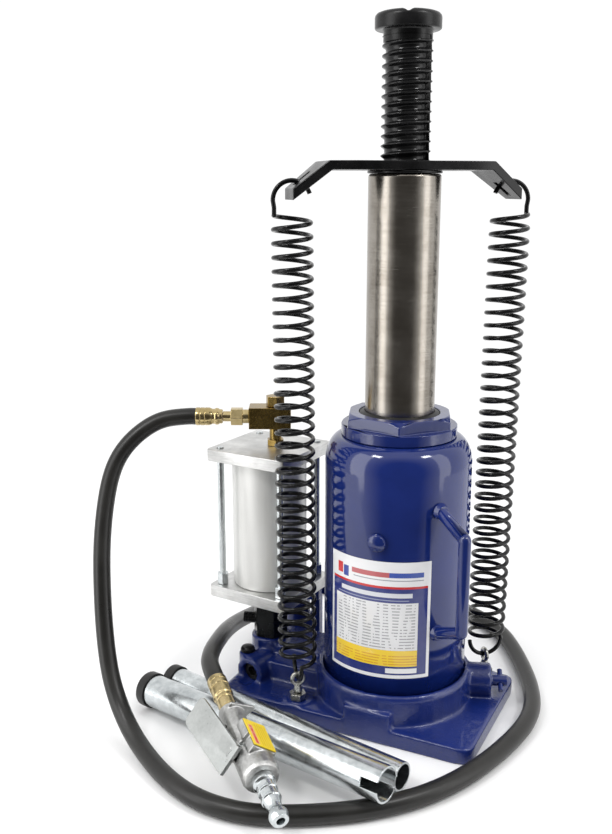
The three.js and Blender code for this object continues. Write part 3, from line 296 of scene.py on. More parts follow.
sleeve_finish = satin_sleeve()
print("sleeve finish:", sleeve_finish.name)

# %% [markdown]
# ## Pieces that keep their machined shape
# Plates, nuts, plugs and turned parts already have the right shape in the part, but as loose
# triangles with knife edges. A copy is welded, its flat regions are merged into whole faces, and a
# small bevel is put on every sharp edge, because a real edge always catches a thin line of light.

# %% Make a finished copy of a piece
def plain_object(name, mesh, material):
    thing = bpy.data.objects.new(name, mesh)
    bpy.context.scene.collection.objects.link(thing)
    mesh.materials.clear()
    mesh.materials.append(material)
    return thing


def baked(thing):
    shape = thing.evaluated_get(bpy.context.evaluated_depsgraph_get())
    mesh = bpy.data.meshes.new_from_object(shape)
    thing.modifiers.clear()
    thing.data = mesh
    return thing


def merged_copy(node, name):
    work = bmesh.new()
    work.from_mesh(nodes[node].data)
    bmesh.ops.remove_doubles(work, verts=work.verts, dist=0.00001)
    bmesh.ops.dissolve_limit(work, angle_limit=math.radians(0.7), verts=work.verts, edges=work.edges)
    places = [v.co.copy() for v in work.verts]
    rings = [[v.index for v in f.verts] for f in work.faces]
    work.free()
    mesh = bpy.data.meshes.new(name)
    mesh.from_pydata(places, [], rings)
    return mesh


def bevelled(node, material, width_mm=0.35, segments=2, suffix="_finished"):
    thing = plain_object(node + suffix, merged_copy(node, node + suffix), material)
    edge = thing.modifiers.new("edge", "BEVEL")
    edge.width = width_mm * MM
    edge.segments = segments
    edge.limit_method = "ANGLE"
    edge.angle_limit = math.radians(33)
    edge.use_clamp_overlap = False
    edge.harden_normals = True
    thing.data.shade_smooth()
    baked(thing)
    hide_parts(node)
    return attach(thing, body_of_node[node])


turned_pieces = {
    "filler_plug": (smooth_blue, 0.5), "top_cap_nut": (welded_blue, 0.7),
    "release_screw": (welded_blue, 0.5), "release_cross_pin": (welded_blue, 0.5),
    "ram_wiper": (cap_rubber, 0.3), "ram_top_ring": (black_satin, 0.4),
    "spring_bar": (black_satin, 0.7), "valve_plug": (black_satin, 0.5), "suction_plug": (black_satin, 0.5),
    "pump_gland_nut": (black_satin, 0.6), "motor_lower_plate": (sawn_aluminium, 0.5),
    "motor_upper_plate": (sawn_aluminium, 0.5), "motor_cylinder": (sleeve_finish, 0.4),
    "inlet_nipple": (dark_brass, 0.3), "inlet_block": (dark_brass, 0.5), "inlet_top_plug": (dark_brass, 0.4),
    "hose_union": (bright_brass, 0.3), "valve_adapter": (bright_brass, 0.3), "lever_pin": (bright_zinc, 0.3),
    "air_valve_lever": (sheet_zinc, 0.35), "valve_plunger": (plain_steel, 0.3),
    "hand_pump_plunger": (plain_steel, 0.3), "handle_socket": (cast_blue, 0.7),
    "socket_pivot_pin": (bright_zinc, 0.3), "plunger_pin": (bright_zinc, 0.3),
    "eyebolt_nut_left": (dull_zinc, 0.4), "eyebolt_nut_right": (dull_zinc, 0.4),
    "handle_tube_front": (bright_zinc, 0.22), "handle_tube_rear": (bright_zinc, 0.22),
    "handle_cap_front": (cap_rubber, 0.8), "handle_cap_rear": (cap_rubber, 0.8),
}
for i in (1, 2, 3, 4):
    turned_pieces[f"motor_tie_rod_{i}"] = (bright_zinc, 0.3)
finished = {n: bevelled(n, *how) for n, how in turned_pieces.items()}
print(len(finished), "bevelled pieces,", sum(len(o.data.polygons) for o in finished.values()), "faces")

# %% [markdown]
# ## Castings
# The base and the valve body come out of sand moulds: no edge is sharp and every inside corner is
# filled with a fillet. Bevels can't round an inside corner, so the shape is rebuilt on a fine grid
# and then relaxed, which softens outside and inside corners alike.

# %% Rebuild a casting on a grid
def casting(node, material, grid_mm, rounds):
    thing = plain_object(node + "_cast", merged_copy(node, node + "_cast"), material)
    grid = thing.modifiers.new("grid", "REMESH")
    grid.mode = "VOXEL"
    grid.voxel_size = grid_mm * MM
    soften = thing.modifiers.new("soften", "SMOOTH")
    soften.factor = 0.5
    soften.iterations = rounds
    baked(thing)
    thing.data.shade_smooth()
    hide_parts(node)
    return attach(thing, body_of_node[node])


base = casting("base_casting", cast_blue, 1.25, 7)
valve_body = casting("air_valve_body", cast_aluminium, 0.55, 5)
for cast in (base, valve_body):
    print(cast.name, len(cast.data.polygons), "faces")

# %% [markdown]
# ## Turned pieces, spun from a profile
# A lathe turns a bar against a fixed outline. The same works here: a list of radius and height
# pairs is spun about an axis. The profile starts and ends on the axis, or closes on itself, so
# that the solid is closed.

# %% Spin a profile
def spun(name, profile_mm, axis_frame, steps, material, round_mm=0.0):
    work = bmesh.new()
    hoops = []
    for radius, height in profile_mm:
        if radius < 1e-6:
            hoops.append([work.verts.new((0, 0, height * MM))] * steps)
            continue
        hoop = []
        for i in range(steps):
            a = 2 * math.pi * i / steps
            hoop.append(work.verts.new((radius * MM * math.cos(a), radius * MM * math.sin(a), height * MM)))
        hoops.append(hoop)
    closed = profile_mm[0][0] > 1e-6
    pairs = list(zip(hoops, hoops[1:])) + ([(hoops[-1], hoops[0])] if closed else [])
    for low, high in pairs:
        for i in range(steps):
            k = (i + 1) % steps
            corners = list(dict.fromkeys([low[i], low[k], high[k], high[i]]))
            if len(corners) > 2:
                work.faces.new(corners)
    bmesh.ops.remove_doubles(work, verts=work.verts, dist=1e-7)
    bmesh.ops.recalc_face_normals(work, faces=work.faces)
    mesh = bpy.data.meshes.new(name)
    work.to_mesh(mesh)
    work.free()
    mesh.transform(axis_frame)
    thing = plain_object(name, mesh, material)
    mesh.shade_smooth()
    if round_mm:
        edge = thing.modifiers.new("edge", "BEVEL")
        edge.width = round_mm * MM
        edge.segments = 3
        edge.limit_method = "ANGLE"
        edge.angle_limit = math.radians(24)
        edge.use_clamp_overlap = False
        edge.harden_normals = True
        baked(thing)
    return thing


def frame_along(start_mm, line):
    turn = Vector(line).to_track_quat("Z", "Y").to_matrix().to_4x4()
    return Matrix.Translation(Vector(start_mm) * MM) @ turn


upright = Matrix.Identity(4)
print("lathe ready")

# %% [markdown]
# ## The tank and the ram
# The tank is a drawn tube with a rolled shoulder, and the shoulder's smooth curve is what bends
# the reflections of the lamps. The ram is a bar ground to a mirror-like finish with a small
# chamfer at its top, bored for the screw, and it carries a piston inside.

# %% Tank and ram
TANK_RADIUS_mm, TANK_TOP_mm, SHOULDER_mm = 53.5, 215.0, 20.0
outside = [(TANK_RADIUS_mm, 26.0), (TANK_RADIUS_mm, 80.0), (TANK_RADIUS_mm, 140.0)]
for i in range(13):
    a = math.radians(90 * i / 12)
    outside.append((TANK_RADIUS_mm - 11.5 * (1 - math.cos(a)), 195.0 + SHOULDER_mm * math.sin(a)))
inside = [(39.6, 215.0), (39.6, 212.0), (48.0, 207.0), (50.5, 195.0), (50.5, 26.0)]
tank = spun("reservoir_tank_shell", outside + inside, upright, 160, smooth_blue)
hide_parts("reservoir_tank")
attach(tank, "base")

RAM_mm = [(0, 176), (29.1, 176), (29.1, 180), (25.1, 180), (25.1, 186), (29.1, 186), (29.1, 194), (25, 194),
          (25, 300), (25, 396.4), (24.3, 397.6), (23.4, 398), (17.5, 398), (17.5, 232), (0, 232)]
ram = spun("ram_ground", RAM_mm, upright, 144, ram_steel, 0.25)
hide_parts("ram")
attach(ram, "ram")
print("tank", len(tank.data.polygons), "faces; ram", len(ram.data.polygons), "faces")

# %% [markdown]
# ## The extension screw
# A screw thread is one profile wound round a bar: after a full turn it has risen by one pitch. The
# mesh does the same. Each point of the profile climbs with the angle, and the last column joins the
# first one a pitch higher, so there is no seam. A few edges of its lower end, inside the ram, stay
# open. The saddle on top is spun and its grooves are cut.

# %% Thread and saddle
PITCH_mm, ROOT_mm, CREST_mm = 6.4, 14.6, 17.0
THREAD_FROM_mm, THREAD_TO_mm = 392.0, 486.0


def thread_mesh(name, low_mm, high_mm, columns):
    wave = [(0.0, ROOT_mm), (0.36, ROOT_mm), (0.46, ROOT_mm + 0.5), (0.60, CREST_mm - 0.5), (0.66, CREST_mm),
            (0.76, CREST_mm), (0.82, CREST_mm - 0.6), (0.94, ROOT_mm + 0.4)]
    turns = int((high_mm - low_mm) / PITCH_mm) + 2
    rows = [(k + at, radius) for k in range(turns) for at, radius in wave]
    work = bmesh.new()
    grid = []
    for j in range(columns):
        a = 2 * math.pi * j / columns
        column = []
        for at, radius in rows:
            height = low_mm - 1.5 * PITCH_mm + (at + j / columns) * PITCH_mm
            height = min(max(height, low_mm), high_mm)
            column.append(work.verts.new((radius * MM * math.cos(a), radius * MM * math.sin(a), height * MM)))
        grid.append(column)
    step = len(wave)
    for j in range(columns):
        here, after = grid[j], grid[(j + 1) % columns]
        shift = step if j == columns - 1 else 0
        for i in range(len(rows) - 1 - shift):
            work.faces.new((here[i + shift], after[i], after[i + 1], here[i + 1 + shift]))
    bmesh.ops.remove_doubles(work, verts=work.verts, dist=0.00002)
    loose = [e for e in work.edges if e.is_boundary]
    bmesh.ops.holes_fill(work, edges=loose, sides=0)
    bmesh.ops.recalc_face_normals(work, faces=work.faces)
    mesh = bpy.data.meshes.new(name)
    work.to_mesh(mesh)
    work.free()
    mesh.shade_smooth()
    return mesh


thread_shape = thread_mesh("screw_thread", THREAD_FROM_mm, THREAD_TO_mm, 72)
thread = plain_object("screw_thread", thread_shape, black_gloss)
edge_uses = Counter(edge for face in thread.data.polygons for edge in face.edge_keys)
uneven = sum(1 for uses in edge_uses.values() if uses != 2)
print("thread:", len(thread.data.polygons), "faces,", uneven, "edges not shared by exactly two")

SHANK_mm = [(0, 318), (14, 318), (14, 322), (11, 322), (11, 326), (14, 326), (14, 393), (0, 393)]
SADDLE_mm = [(0, 482), (16.0, 482), (16.4, 482.6), (16.4, 489), (17.2, 490), (21.2, 490), (22.0, 490.5),
             (22.2, 491.4), (22.2, 497.4), (21.9, 498.8), (20.8, 500.1), (18.6, 500.9), (16.6, 501), (0, 501)]
shank = spun("screw_shank", SHANK_mm, upright, 64, black_gloss, 0.4)
saddle = spun("screw_saddle", SADDLE_mm, upright, 96, black_satin)


def grooved(thing, turn):
    half, deep = 3.7 * MM, 2.5 * MM
    work = bmesh.new()
    ends = []
    corners = ((0, -deep), (half * 1.6, deep * 0.6), (-half * 1.6, deep * 0.6))
    for x in (-40 * MM, 40 * MM):
        ends.append([work.verts.new((x, y, 0.501 + z)) for y, z in corners])
    for a, b in ((0, 1), (1, 2), (2, 0)):
        work.faces.new((ends[0][a], ends[0][b], ends[1][b], ends[1][a]))
    work.faces.new(ends[0])
    work.faces.new(ends[1])
    bmesh.ops.recalc_face_normals(work, faces=work.faces)
    mesh = bpy.data.meshes.new("groove")
    work.to_mesh(mesh)
    work.free()
    mesh.transform(Matrix.Rotation(math.radians(turn), 4, "Z"))
    cutter = bpy.data.objects.new("groove", mesh)
    bpy.context.scene.collection.objects.link(cutter)
    cut = thing.modifiers.new("groove", "BOOLEAN")
    cut.object = cutter
    cut.solver = "EXACT"
    baked(thing)
    bpy.data.objects.remove(cutter)


for turn in (-69.5, 20.5):
    grooved(saddle, turn)
edge = saddle.modifiers.new("edge", "BEVEL")
edge.width = 0.35 * MM
edge.segments = 2
edge.limit_method = "ANGLE"
edge.angle_limit = math.radians(34)
edge.use_clamp_overlap = False
edge.harden_normals = True
baked(saddle)
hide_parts("extension_screw")
for thing in (thread, shank, saddle):
    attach(thing, "screw")
print("saddle:", len(saddle.data.polygons), "faces")

# %% [markdown]
# ## Round wire along a path
# The springs, their hooks, the eyes and the carry handle are all one thing: round bar that follows
# a path. Geometry Nodes do this well, because the path stays a list of points and the bar's radius
# and its number of sides are inputs that can be changed. Each result is turned into a plain mesh.

# %% A Geometry Nodes tree that lays bar on a path
def bar_tree():
    tree = bpy.data.node_groups.new("round_bar_on_path", "GeometryNodeTree")
    for label, kind in (("Path", "NodeSocketGeometry"), ("Bar radius", "NodeSocketFloat"),
                        ("Sides", "NodeSocketInt"), ("Finish", "NodeSocketMaterial")):
        tree.interface.new_socket(label, in_out="INPUT", socket_type=kind)
    tree.interface.new_socket("Bar", in_out="OUTPUT", socket_type="NodeSocketGeometry")
    start, end = tree.nodes.new("NodeGroupInput"), tree.nodes.new("NodeGroupOutput")
    ring = tree.nodes.new("GeometryNodeCurvePrimitiveCircle")
    sweep = tree.nodes.new("GeometryNodeCurveToMesh")
    sweep.inputs["Fill Caps"].default_value = True
    smooth = tree.nodes.new("GeometryNodeSetShadeSmooth")
    real = tree.nodes.new("GeometryNodeRealizeInstances")
    paint = tree.nodes.new("GeometryNodeSetMaterial")
    join = tree.links.new
    join(start.outputs["Path"], sweep.inputs["Curve"])
    join(start.outputs["Bar radius"], ring.inputs["Radius"])
    join(start.outputs["Sides"], ring.inputs["Resolution"])
    join(ring.outputs["Curve"], sweep.inputs["Profile Curve"])
    join(sweep.outputs["Mesh"], smooth.inputs["Geometry"])
    join(smooth.outputs["Geometry"], real.inputs["Geometry"])
    join(real.outputs["Geometry"], paint.inputs["Geometry"])
    join(start.outputs["Finish"], paint.inputs["Material"])
    join(paint.outputs["Geometry"], end.inputs["Bar"])
    return tree


bar_on_path = bar_tree()
bar_input = {i.name: i.identifier for i in bar_on_path.interface.items_tree if i.in_out == "INPUT"}


def path_curve(name, points_mm, closed=False):
    line = bpy.data.curves.new(name, "CURVE")
    line.dimensions = "3D"
    spline = line.splines.new("POLY")
    spline.points.add(len(points_mm) - 1)
    for spot, place in zip(spline.points, points_mm):
        spot.co = (*(Vector(place) * MM), 1.0)
    spline.use_cyclic_u = closed
    return line


def round_bar(name, points_mm, radius_mm, sides, material, closed=False):
    holder = bpy.data.objects.new(name + "_path", path_curve(name, points_mm, closed))
    bpy.context.scene.collection.objects.link(holder)
    bend = holder.modifiers.new("bar", "NODES")
    bend.node_group = bar_on_path
    bend[bar_input["Bar radius"]] = radius_mm * MM
    bend[bar_input["Sides"]] = sides
    bend[bar_input["Finish"]] = material
    shape = holder.evaluated_get(bpy.context.evaluated_depsgraph_get())
    mesh = bpy.data.meshes.new_from_object(shape)
    bpy.data.objects.remove(holder)
    work = bmesh.new()
    work.from_mesh(mesh)
    bmesh.ops.remove_doubles(work, verts=work.verts, dist=1e-7)
    bmesh.ops.recalc_face_normals(work, faces=work.faces)
    work.to_mesh(mesh)
    work.free()
    return plain_object(name, mesh, material)


def rounded_route(corners, bend, steps=10):
    """A route through corners with each inside corner turned on an arc of that radius."""
    route = [Vector(corners[0])]
    for before, corner, after in zip(corners, corners[1:], corners[2:]):
        before, corner, after = Vector(before), Vector(corner), Vector(after)
        one, two = (before - corner).normalized(), (after - corner).normalized()
        half = one.angle(two) / 2
        reach = bend / math.tan(half)
        centre = corner + (one + two).normalized() * (bend / math.sin(half))
        first, last = corner + one * reach - centre, corner + two * reach - centre
        for i in range(steps + 1):
            route.append(centre + first.slerp(last, i / steps))
    route.append(Vector(corners[-1]))
    return route


print("bar tree inputs:", ", ".join(bar_input))

# %% [markdown]
# ## Return springs
# The right spring has 35 turns of 3.2 mm wire and the left a quarter turn less. Each
# lies between a hook over the bar and a bight through an eyebolt. The coil has to shorten as the ram goes
# down, so a spring is three pieces: its hook travels with the bar, while its bight and the coil between them
# stay on the base.

# %% Springs
BAR_TURN = math.radians(39.3)
BAR_LINE = Vector((math.cos(BAR_TURN), math.sin(BAR_TURN), 0))
HOOK_OUT_mm = 79.0
EYE_PLACE_mm = Vector((57.5, 50, 0))
COIL_mm, WIRE_mm, TURNS = 13.0, 1.6, 35
# turns that the spring on each side falls short of a whole number, which turns its eyebolt too
QUARTER = {-1: 0.25, 1: 0.0}
HOOK_Z_mm, COIL_HIGH_mm, COIL_LOW_mm, BIGHT_LOW_mm = 380.6, 371.0, 45.0, 30.6


def spring_paths(side):
    out = BAR_LINE * side
    high, low = out * HOOK_OUT_mm, EYE_PLACE_mm * side
    start = math.atan2(out.y, out.x)
    across = Matrix.Rotation(QUARTER[side] * 2 * math.pi, 3, "Z") @ out
    coil = []
    for i in range(TURNS * 26 + 1):
        t = i / (TURNS * 26)
        a = start - t * (TURNS - QUARTER[side]) * 2 * math.pi
        wide = COIL_mm * (1.0 - 0.06 * math.exp(-t * 60) - 0.06 * math.exp((t - 1) * 60))
        axis = high.lerp(low, t)
        height = COIL_HIGH_mm + (COIL_LOW_mm - COIL_HIGH_mm) * t
        coil.append(axis + Vector((wide * math.cos(a), wide * math.sin(a), height)))
    hook = []
    for i in range(25):
        a = math.radians(160 * (1 - i / 24))
        hook.append(out * (HOOK_OUT_mm + COIL_mm * math.cos(a)) + UP * (HOOK_Z_mm + COIL_mm * math.sin(a)))
    hook += [coil[0] + UP * 5.0, coil[0] + UP * 1.2, coil[0], coil[1]]
    bight = [coil[-2], coil[-1]]
    for i in range(25):
        a = math.radians(-6 - 172 * i / 24)
        height = BIGHT_LOW_mm + COIL_mm + COIL_mm * math.sin(a)
        bight.append(low + across * (COIL_mm * math.cos(a)) + UP * height)
    return hook, coil, bight


for name, side in (("spring_left", -1), ("spring_right", 1)):
    hook, coil, bight = spring_paths(side)
    top = round_bar(name + "_hook", hook, WIRE_mm, 12, black_gloss)
    middle = round_bar(name + "_coil", coil, WIRE_mm, 10, black_gloss)
    end = round_bar(name + "_bight", bight, WIRE_mm, 12, black_gloss)
    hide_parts(name)
    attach(top, "ram")
    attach(end, "base")
    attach(middle, "base")
    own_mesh(middle)
    print(name, "coil has", len(middle.data.polygons), "faces")

MOTOR_AXIS_mm = (-105.0, -4.0)
coil = []
for i in range(6 * 30 + 1):
    a = 2 * math.pi * i / 30
    x, y = MOTOR_AXIS_mm[0] + 15 * math.cos(a), MOTOR_AXIS_mm[1] + 15 * math.sin(a)
    coil.append((x, y, 85.8 + 64.6 * i / 180))
motor_spring = round_bar("motor_return_spring_coil", coil, 1.1, 10, plain_steel)
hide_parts("motor_return_spring")
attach(motor_spring, "base")
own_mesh(motor_spring)
print("motor spring faces:", len(motor_spring.data.polygons))

# %% [markdown]
# ## Eyebolts
# An eyebolt is a ring on a tapered neck with a thread below it. The thread is many equal ridges,
# which Geometry Nodes place as copies of one ridge on a line.

# %% A Geometry Nodes tree that stacks ridges
def ridge_tree():
    tree = bpy.data.node_groups.new("stacked_ridges", "GeometryNodeTree")
    for label, kind in (("Ridge", "NodeSocketGeometry"), ("Count", "NodeSocketInt"),
                        ("Pitch", "NodeSocketVector"), ("Finish", "NodeSocketMaterial")):
        tree.interface.new_socket(label, in_out="INPUT", socket_type=kind)
    tree.interface.new_socket("Thread", in_out="OUTPUT", socket_type="NodeSocketGeometry")
    start, end = tree.nodes.new("NodeGroupInput"), tree.nodes.new("NodeGroupOutput")
    line = tree.nodes.new("GeometryNodeMeshLine")
    copies = tree.nodes.new("GeometryNodeInstanceOnPoints")
    real = tree.nodes.new("GeometryNodeRealizeInstances")
    paint = tree.nodes.new("GeometryNodeSetMaterial")
    join = tree.links.new
    join(start.outputs["Count"], line.inputs["Count"])
    join(start.outputs["Pitch"], line.inputs["Offset"])
    join(line.outputs["Mesh"], copies.inputs["Points"])
    join(start.outputs["Ridge"], copies.inputs["Instance"])
    join(copies.outputs["Instances"], real.inputs["Geometry"])
    join(real.outputs["Geometry"], paint.inputs["Geometry"])
    join(start.outputs["Finish"], paint.inputs["Material"])
    join(paint.outputs["Geometry"], end.inputs["Thread"])
    return tree


ridges = ridge_tree()
ridge_input = {i.name: i.identifier for i in ridges.interface.items_tree if i.in_out == "INPUT"}


def ridged(name, axis_frame, radius_mm, pitch_mm, count, material):
    outline = [(radius_mm - 0.5, -0.34), (radius_mm, 0), (radius_mm - 0.5, 0.34), (radius_mm - 1.0, 0)]
    one = spun(name, outline, upright, 20, material)
    stack = one.modifiers.new("thread", "NODES")
    stack.node_group = ridges
    stack[ridge_input["Count"]] = count
    stack[ridge_input["Pitch"]] = (0.0, 0.0, pitch_mm * MM)
    stack[ridge_input["Finish"]] = material
    baked(one)
    one.data.transform(axis_frame)
    return one


def joined(name, parts):
    """Several closed meshes kept in one object, under one material."""
    work = bmesh.new()
    for part in parts:
        work.from_mesh(part.data)
    mesh = bpy.data.meshes.new(name)
    work.to_mesh(mesh)
    work.free()
    material = parts[0].data.materials[0]
    for part in parts:
        bpy.data.objects.remove(part)
    return plain_object(name, mesh, material)


def eyebolt(suffix, side):
    foot = Matrix.Translation(EYE_PLACE_mm * side * MM)
    turn = Matrix.Rotation(BAR_TURN + QUARTER[side] * 2 * math.pi, 4, "Z")
    ring = []
    for i in range(40):
        a = 2 * math.pi * i / 40
        ring.append((0, 4.3 * math.cos(a), 30.0 + 4.3 * math.sin(a)))
    eye = round_bar("eye", ring, 1.6, 16, dull_zinc, closed=True)
    outline = [(0, 2), (2.4, 2), (2.4, 19), (3.4, 20.4), (2.9, 23), (2.0, 25.6), (0, 26.2)]
    neck = spun("neck", outline, upright, 28, dull_zinc, 0.2)
    thread = ridged("thread", Matrix.Translation((0, 0, 0.003)), 2.62, 0.8, 20, dull_zinc)
    bolt = joined("eyebolt_" + suffix + "_bent", [eye, neck, thread])
    bolt.data.transform(foot @ turn)
    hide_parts("eyebolt_" + suffix)
    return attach(bolt, "base")


bolts = [eyebolt("left", -1), eyebolt("right", 1)]
print("eyebolts:", [len(b.data.polygons) for b in bolts])


# %% [markdown]
# ## The carry handle
# A bent round bar stands out from the tank at the front right. Its two ends are welded on, so each
# has a bead where it meets the tank.

# %% Carry handle
def carry_handle():
    line = Vector((math.cos(math.radians(-36)), math.sin(math.radians(-36)), 0))
    corners = [line * 53.9 + UP * 172, line * 94 + UP * 172, line * 94 + UP * 81, line * 53.9 + UP * 81]
    bar = round_bar("bar", rounded_route(corners, 12.5), 4.3, 24, smooth_blue)
    beads = []
    for height in (81, 172):
        where = frame_along(line * 53.55 + UP * height, line)
        outline = [(0, 0), (6.0, 0), (5.8, 1.0), (5.0, 2.6), (4.5, 4.2), (0, 4.4)]
        beads.append(spun("bead", outline, where, 28, smooth_blue, 0.4))
    return joined("carry_handle_bent", [bar, *beads])


handle = carry_handle()
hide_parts("carry_handle")
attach(handle, "base")
print("carry handle:", len(handle.data.polygons), "faces")

# %% [markdown]
# ## Hose ends and the air nipple
# A ferrule is a brass shell crimped onto the hose, so it has shallow pressed rings. The nipple is
# turned from plated steel: a hexagon, a long stem, a neck that the coupler's balls lock into, and a
# bore. All are spun about their own lines, which run along the air path.

# %% Ferrules and nipple
inlet_line = Vector((-0.898, -0.44, 0)).normalized()
inlet_start_mm = Vector((-100.5, -2.0, 217.7))
jack_ferrule = spun("hose_ferrule_jack_crimped", [
    (1.8, 40.3), (5.0, 40.3), (5.5, 41.0), (5.6, 42.6), (6.5, 44.0), (6.5, 45.6), (5.9, 46.6), (5.9, 48.2),
    (6.9, 50.4), (6.95, 53.6), (6.6, 54.0), (6.95, 54.4), (6.95, 57.2), (6.6, 57.6), (6.95, 58.0),
    (7.0, 60.2), (6.7, 61.0), (1.8, 61.0),
], frame_along(inlet_start_mm, inlet_line), 56, bright_brass, 0.2)
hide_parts("hose_ferrule_jack")

valve_start_mm = Vector((-86.5, -113, 44.5))
valve_end_mm = Vector((3, -196.5, 22))
valve_line = (valve_end_mm - valve_start_mm).normalized()
level_right = Vector((-valve_line.y, valve_line.x, 0)).normalized()
valve_right = Matrix.Rotation(math.radians(-35), 3, valve_line) @ level_right
valve_up = valve_line.cross(valve_right)
valve_frame = Matrix((valve_right, valve_up, valve_line)).transposed().to_4x4()
valve_frame.translation = valve_start_mm * MM
valve_ferrule = spun("hose_ferrule_valve_crimped", [
    (1.8, -11), (6.8, -11), (7.1, -10.4), (7.1, -7.0), (6.7, -6.6), (7.1, -6.2), (7.2, -2.0),
    (6.6, -1.6), (6.6, -0.4), (7.2, 0.0), (7.2, 7.2), (6.3, 8.6), (6.3, 11.4), (5.9, 12), (1.8, 12),
], valve_frame, 56, bright_brass, 0.2)
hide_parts("hose_ferrule_valve")
nipple = spun("air_nipple_turned", [
    (2.6, 77), (5, 77), (5, 87.3), (7.4, 87.3), (7.6, 88.0), (7.6, 91.4), (7.0, 92.2), (6.0, 92.8),
    (6.0, 96.5), (6.6, 97.2), (6.6, 98.4), (6.0, 99.0), (6.0, 103.5), (6.6, 104.2), (6.6, 105.2),
    (5.9, 105.9), (5.2, 109.0), (4.6, 111.0), (4.5, 113.4), (5.9, 115.8), (6.3, 117.0), (6.3, 119.0),
    (5.9, 120.6), (5.3, 122.4), (4.4, 122.6), (2.9, 122.6), (2.6, 121.6),
], valve_frame @ Matrix.Translation((0.003, 0, 0)), 56, bright_zinc, 0.12)
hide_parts("air_nipple")
for thing in (jack_ferrule, valve_ferrule, nipple):
    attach(thing, "base")
print("valve points along", [round(c, 3) for c in valve_line])

# %% [markdown]
# ## The air hose
# The hose leaves the inlet block, drops in front of the motor, lies in a loop on the floor that
# passes in front of the jack and round behind it, and comes back up to the hand valve. Its route is
# given as a list of points: straight out of each ferrule, with no bend tighter than four diameters, and flat
# where it lies on the floor. It stays a curve, so that its own line is the hose's centreline.

# %% Hose
HOSE_RADIUS = 0.0065
HOSE_ROUTE = [
    (-0.1785, -0.0412, 0.2152), (-0.1918, -0.0533, 0.2055), (-0.2005, -0.065, 0.1916),
    (-0.2033, -0.0755, 0.1746), (-0.202, -0.0865, 0.15), (-0.1975, -0.0975, 0.124),
    (-0.1905, -0.108, 0.096), (-0.182, -0.118, 0.068), (-0.171, -0.1275, 0.042), (-0.1545, -0.137, 0.0215),
    (-0.13, -0.1505, 0.0094), (-0.097, -0.1685, 0.0066), (-0.064, -0.18, 0.0066), (-0.033, -0.1795, 0.0066),
    (-0.008, -0.1705, 0.0066), (0.019, -0.155, 0.0066), (0.041, -0.138, 0.0066), (0.064, -0.113, 0.0066),
    (0.082, -0.081, 0.0066), (0.095, -0.042, 0.0066), (0.1025, -0.004, 0.0066), (0.102, 0.026, 0.0066),
    (0.0945, 0.054, 0.0066), (0.082, 0.083, 0.0066), (0.065, 0.115, 0.0066), (0.046, 0.142, 0.0066),
    (0.02, 0.163, 0.0066), (-0.02, 0.181, 0.0066), (-0.07, 0.19, 0.0066), (-0.111, 0.1825, 0.0066),
    (-0.138, 0.161, 0.0066), (-0.153, 0.13, 0.007), (-0.1575, 0.104, 0.009), (-0.157, 0.078, 0.0135),
    (-0.1535, 0.053, 0.02), (-0.149, 0.028, 0.027), (-0.143, 0.002, 0.0343), (-0.1355, -0.024, 0.041),
    (-0.1275, -0.048, 0.0456), (-0.1195, -0.0705, 0.0486), (-0.111, -0.0882, 0.0493),
]


def smooth_route(points, steps):
    """Points on a curve that passes through every given point, with soft turns."""
    spots = [Vector(p) for p in points]
    spots = [spots[0] * 2 - spots[1], *spots, spots[-1] * 2 - spots[-2]]
    line = []
    for a, b, c, d in zip(spots, spots[1:], spots[2:], spots[3:]):
        for i in range(steps):
            t = i / steps
            line.append(0.5 * ((2 * b) + (c - a) * t + (2 * a - 5 * b + 4 * c - d) * t * t
                               + (3 * b - a - 3 * c + d) * t * t * t))
    line.append(Vector(points[-1]))
    return line


hose_exit = (inlet_start_mm + inlet_line * 61.3) * MM
hose_end = (valve_start_mm - valve_line * 11.3) * MM
hose_start = [hose_exit, hose_exit + inlet_line * 0.006]
hose_points = [*hose_start, *HOSE_ROUTE, hose_end - valve_line * 0.008, hose_end]
hose_line = smooth_route(hose_points, 10)
for _ in range(12):
    relaxed = [(a + b * 2 + c) / 4 for a, b, c in zip(hose_line, hose_line[1:], hose_line[2:])]
    hose_line = hose_line[:3] + relaxed[2:-2] + hose_line[-3:]
hose_length = sum((b - a).length for a, b in zip(hose_line, hose_line[1:]))
hose_curve = path_curve("air_hose_tube", [p / MM for p in hose_line])
hose_curve.bevel_depth = HOSE_RADIUS
hose_curve.bevel_resolution = 6
hose_curve.use_fill_caps = True
hose = bpy.data.objects.new("air_hose_tube", hose_curve)
bpy.context.scene.collection.objects.link(hose)
hose_curve.materials.append(hose_rubber)
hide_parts("air_hose")
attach(hose, "base")
print("hose length", round(hose_length, 3), "m, lowest", round(min(p.z for p in hose_line) - HOSE_RADIUS, 4))

# %% [markdown]
# ## The tank's label and the valve's sticker
# Both are thin printed sheets. They are built flat-sided on a grid that has its own UV map, so that
# the printing follows the sheet: u runs across it and v up it. The printing here is only plain
# bands, boxes and ruled lines, with no words on it.

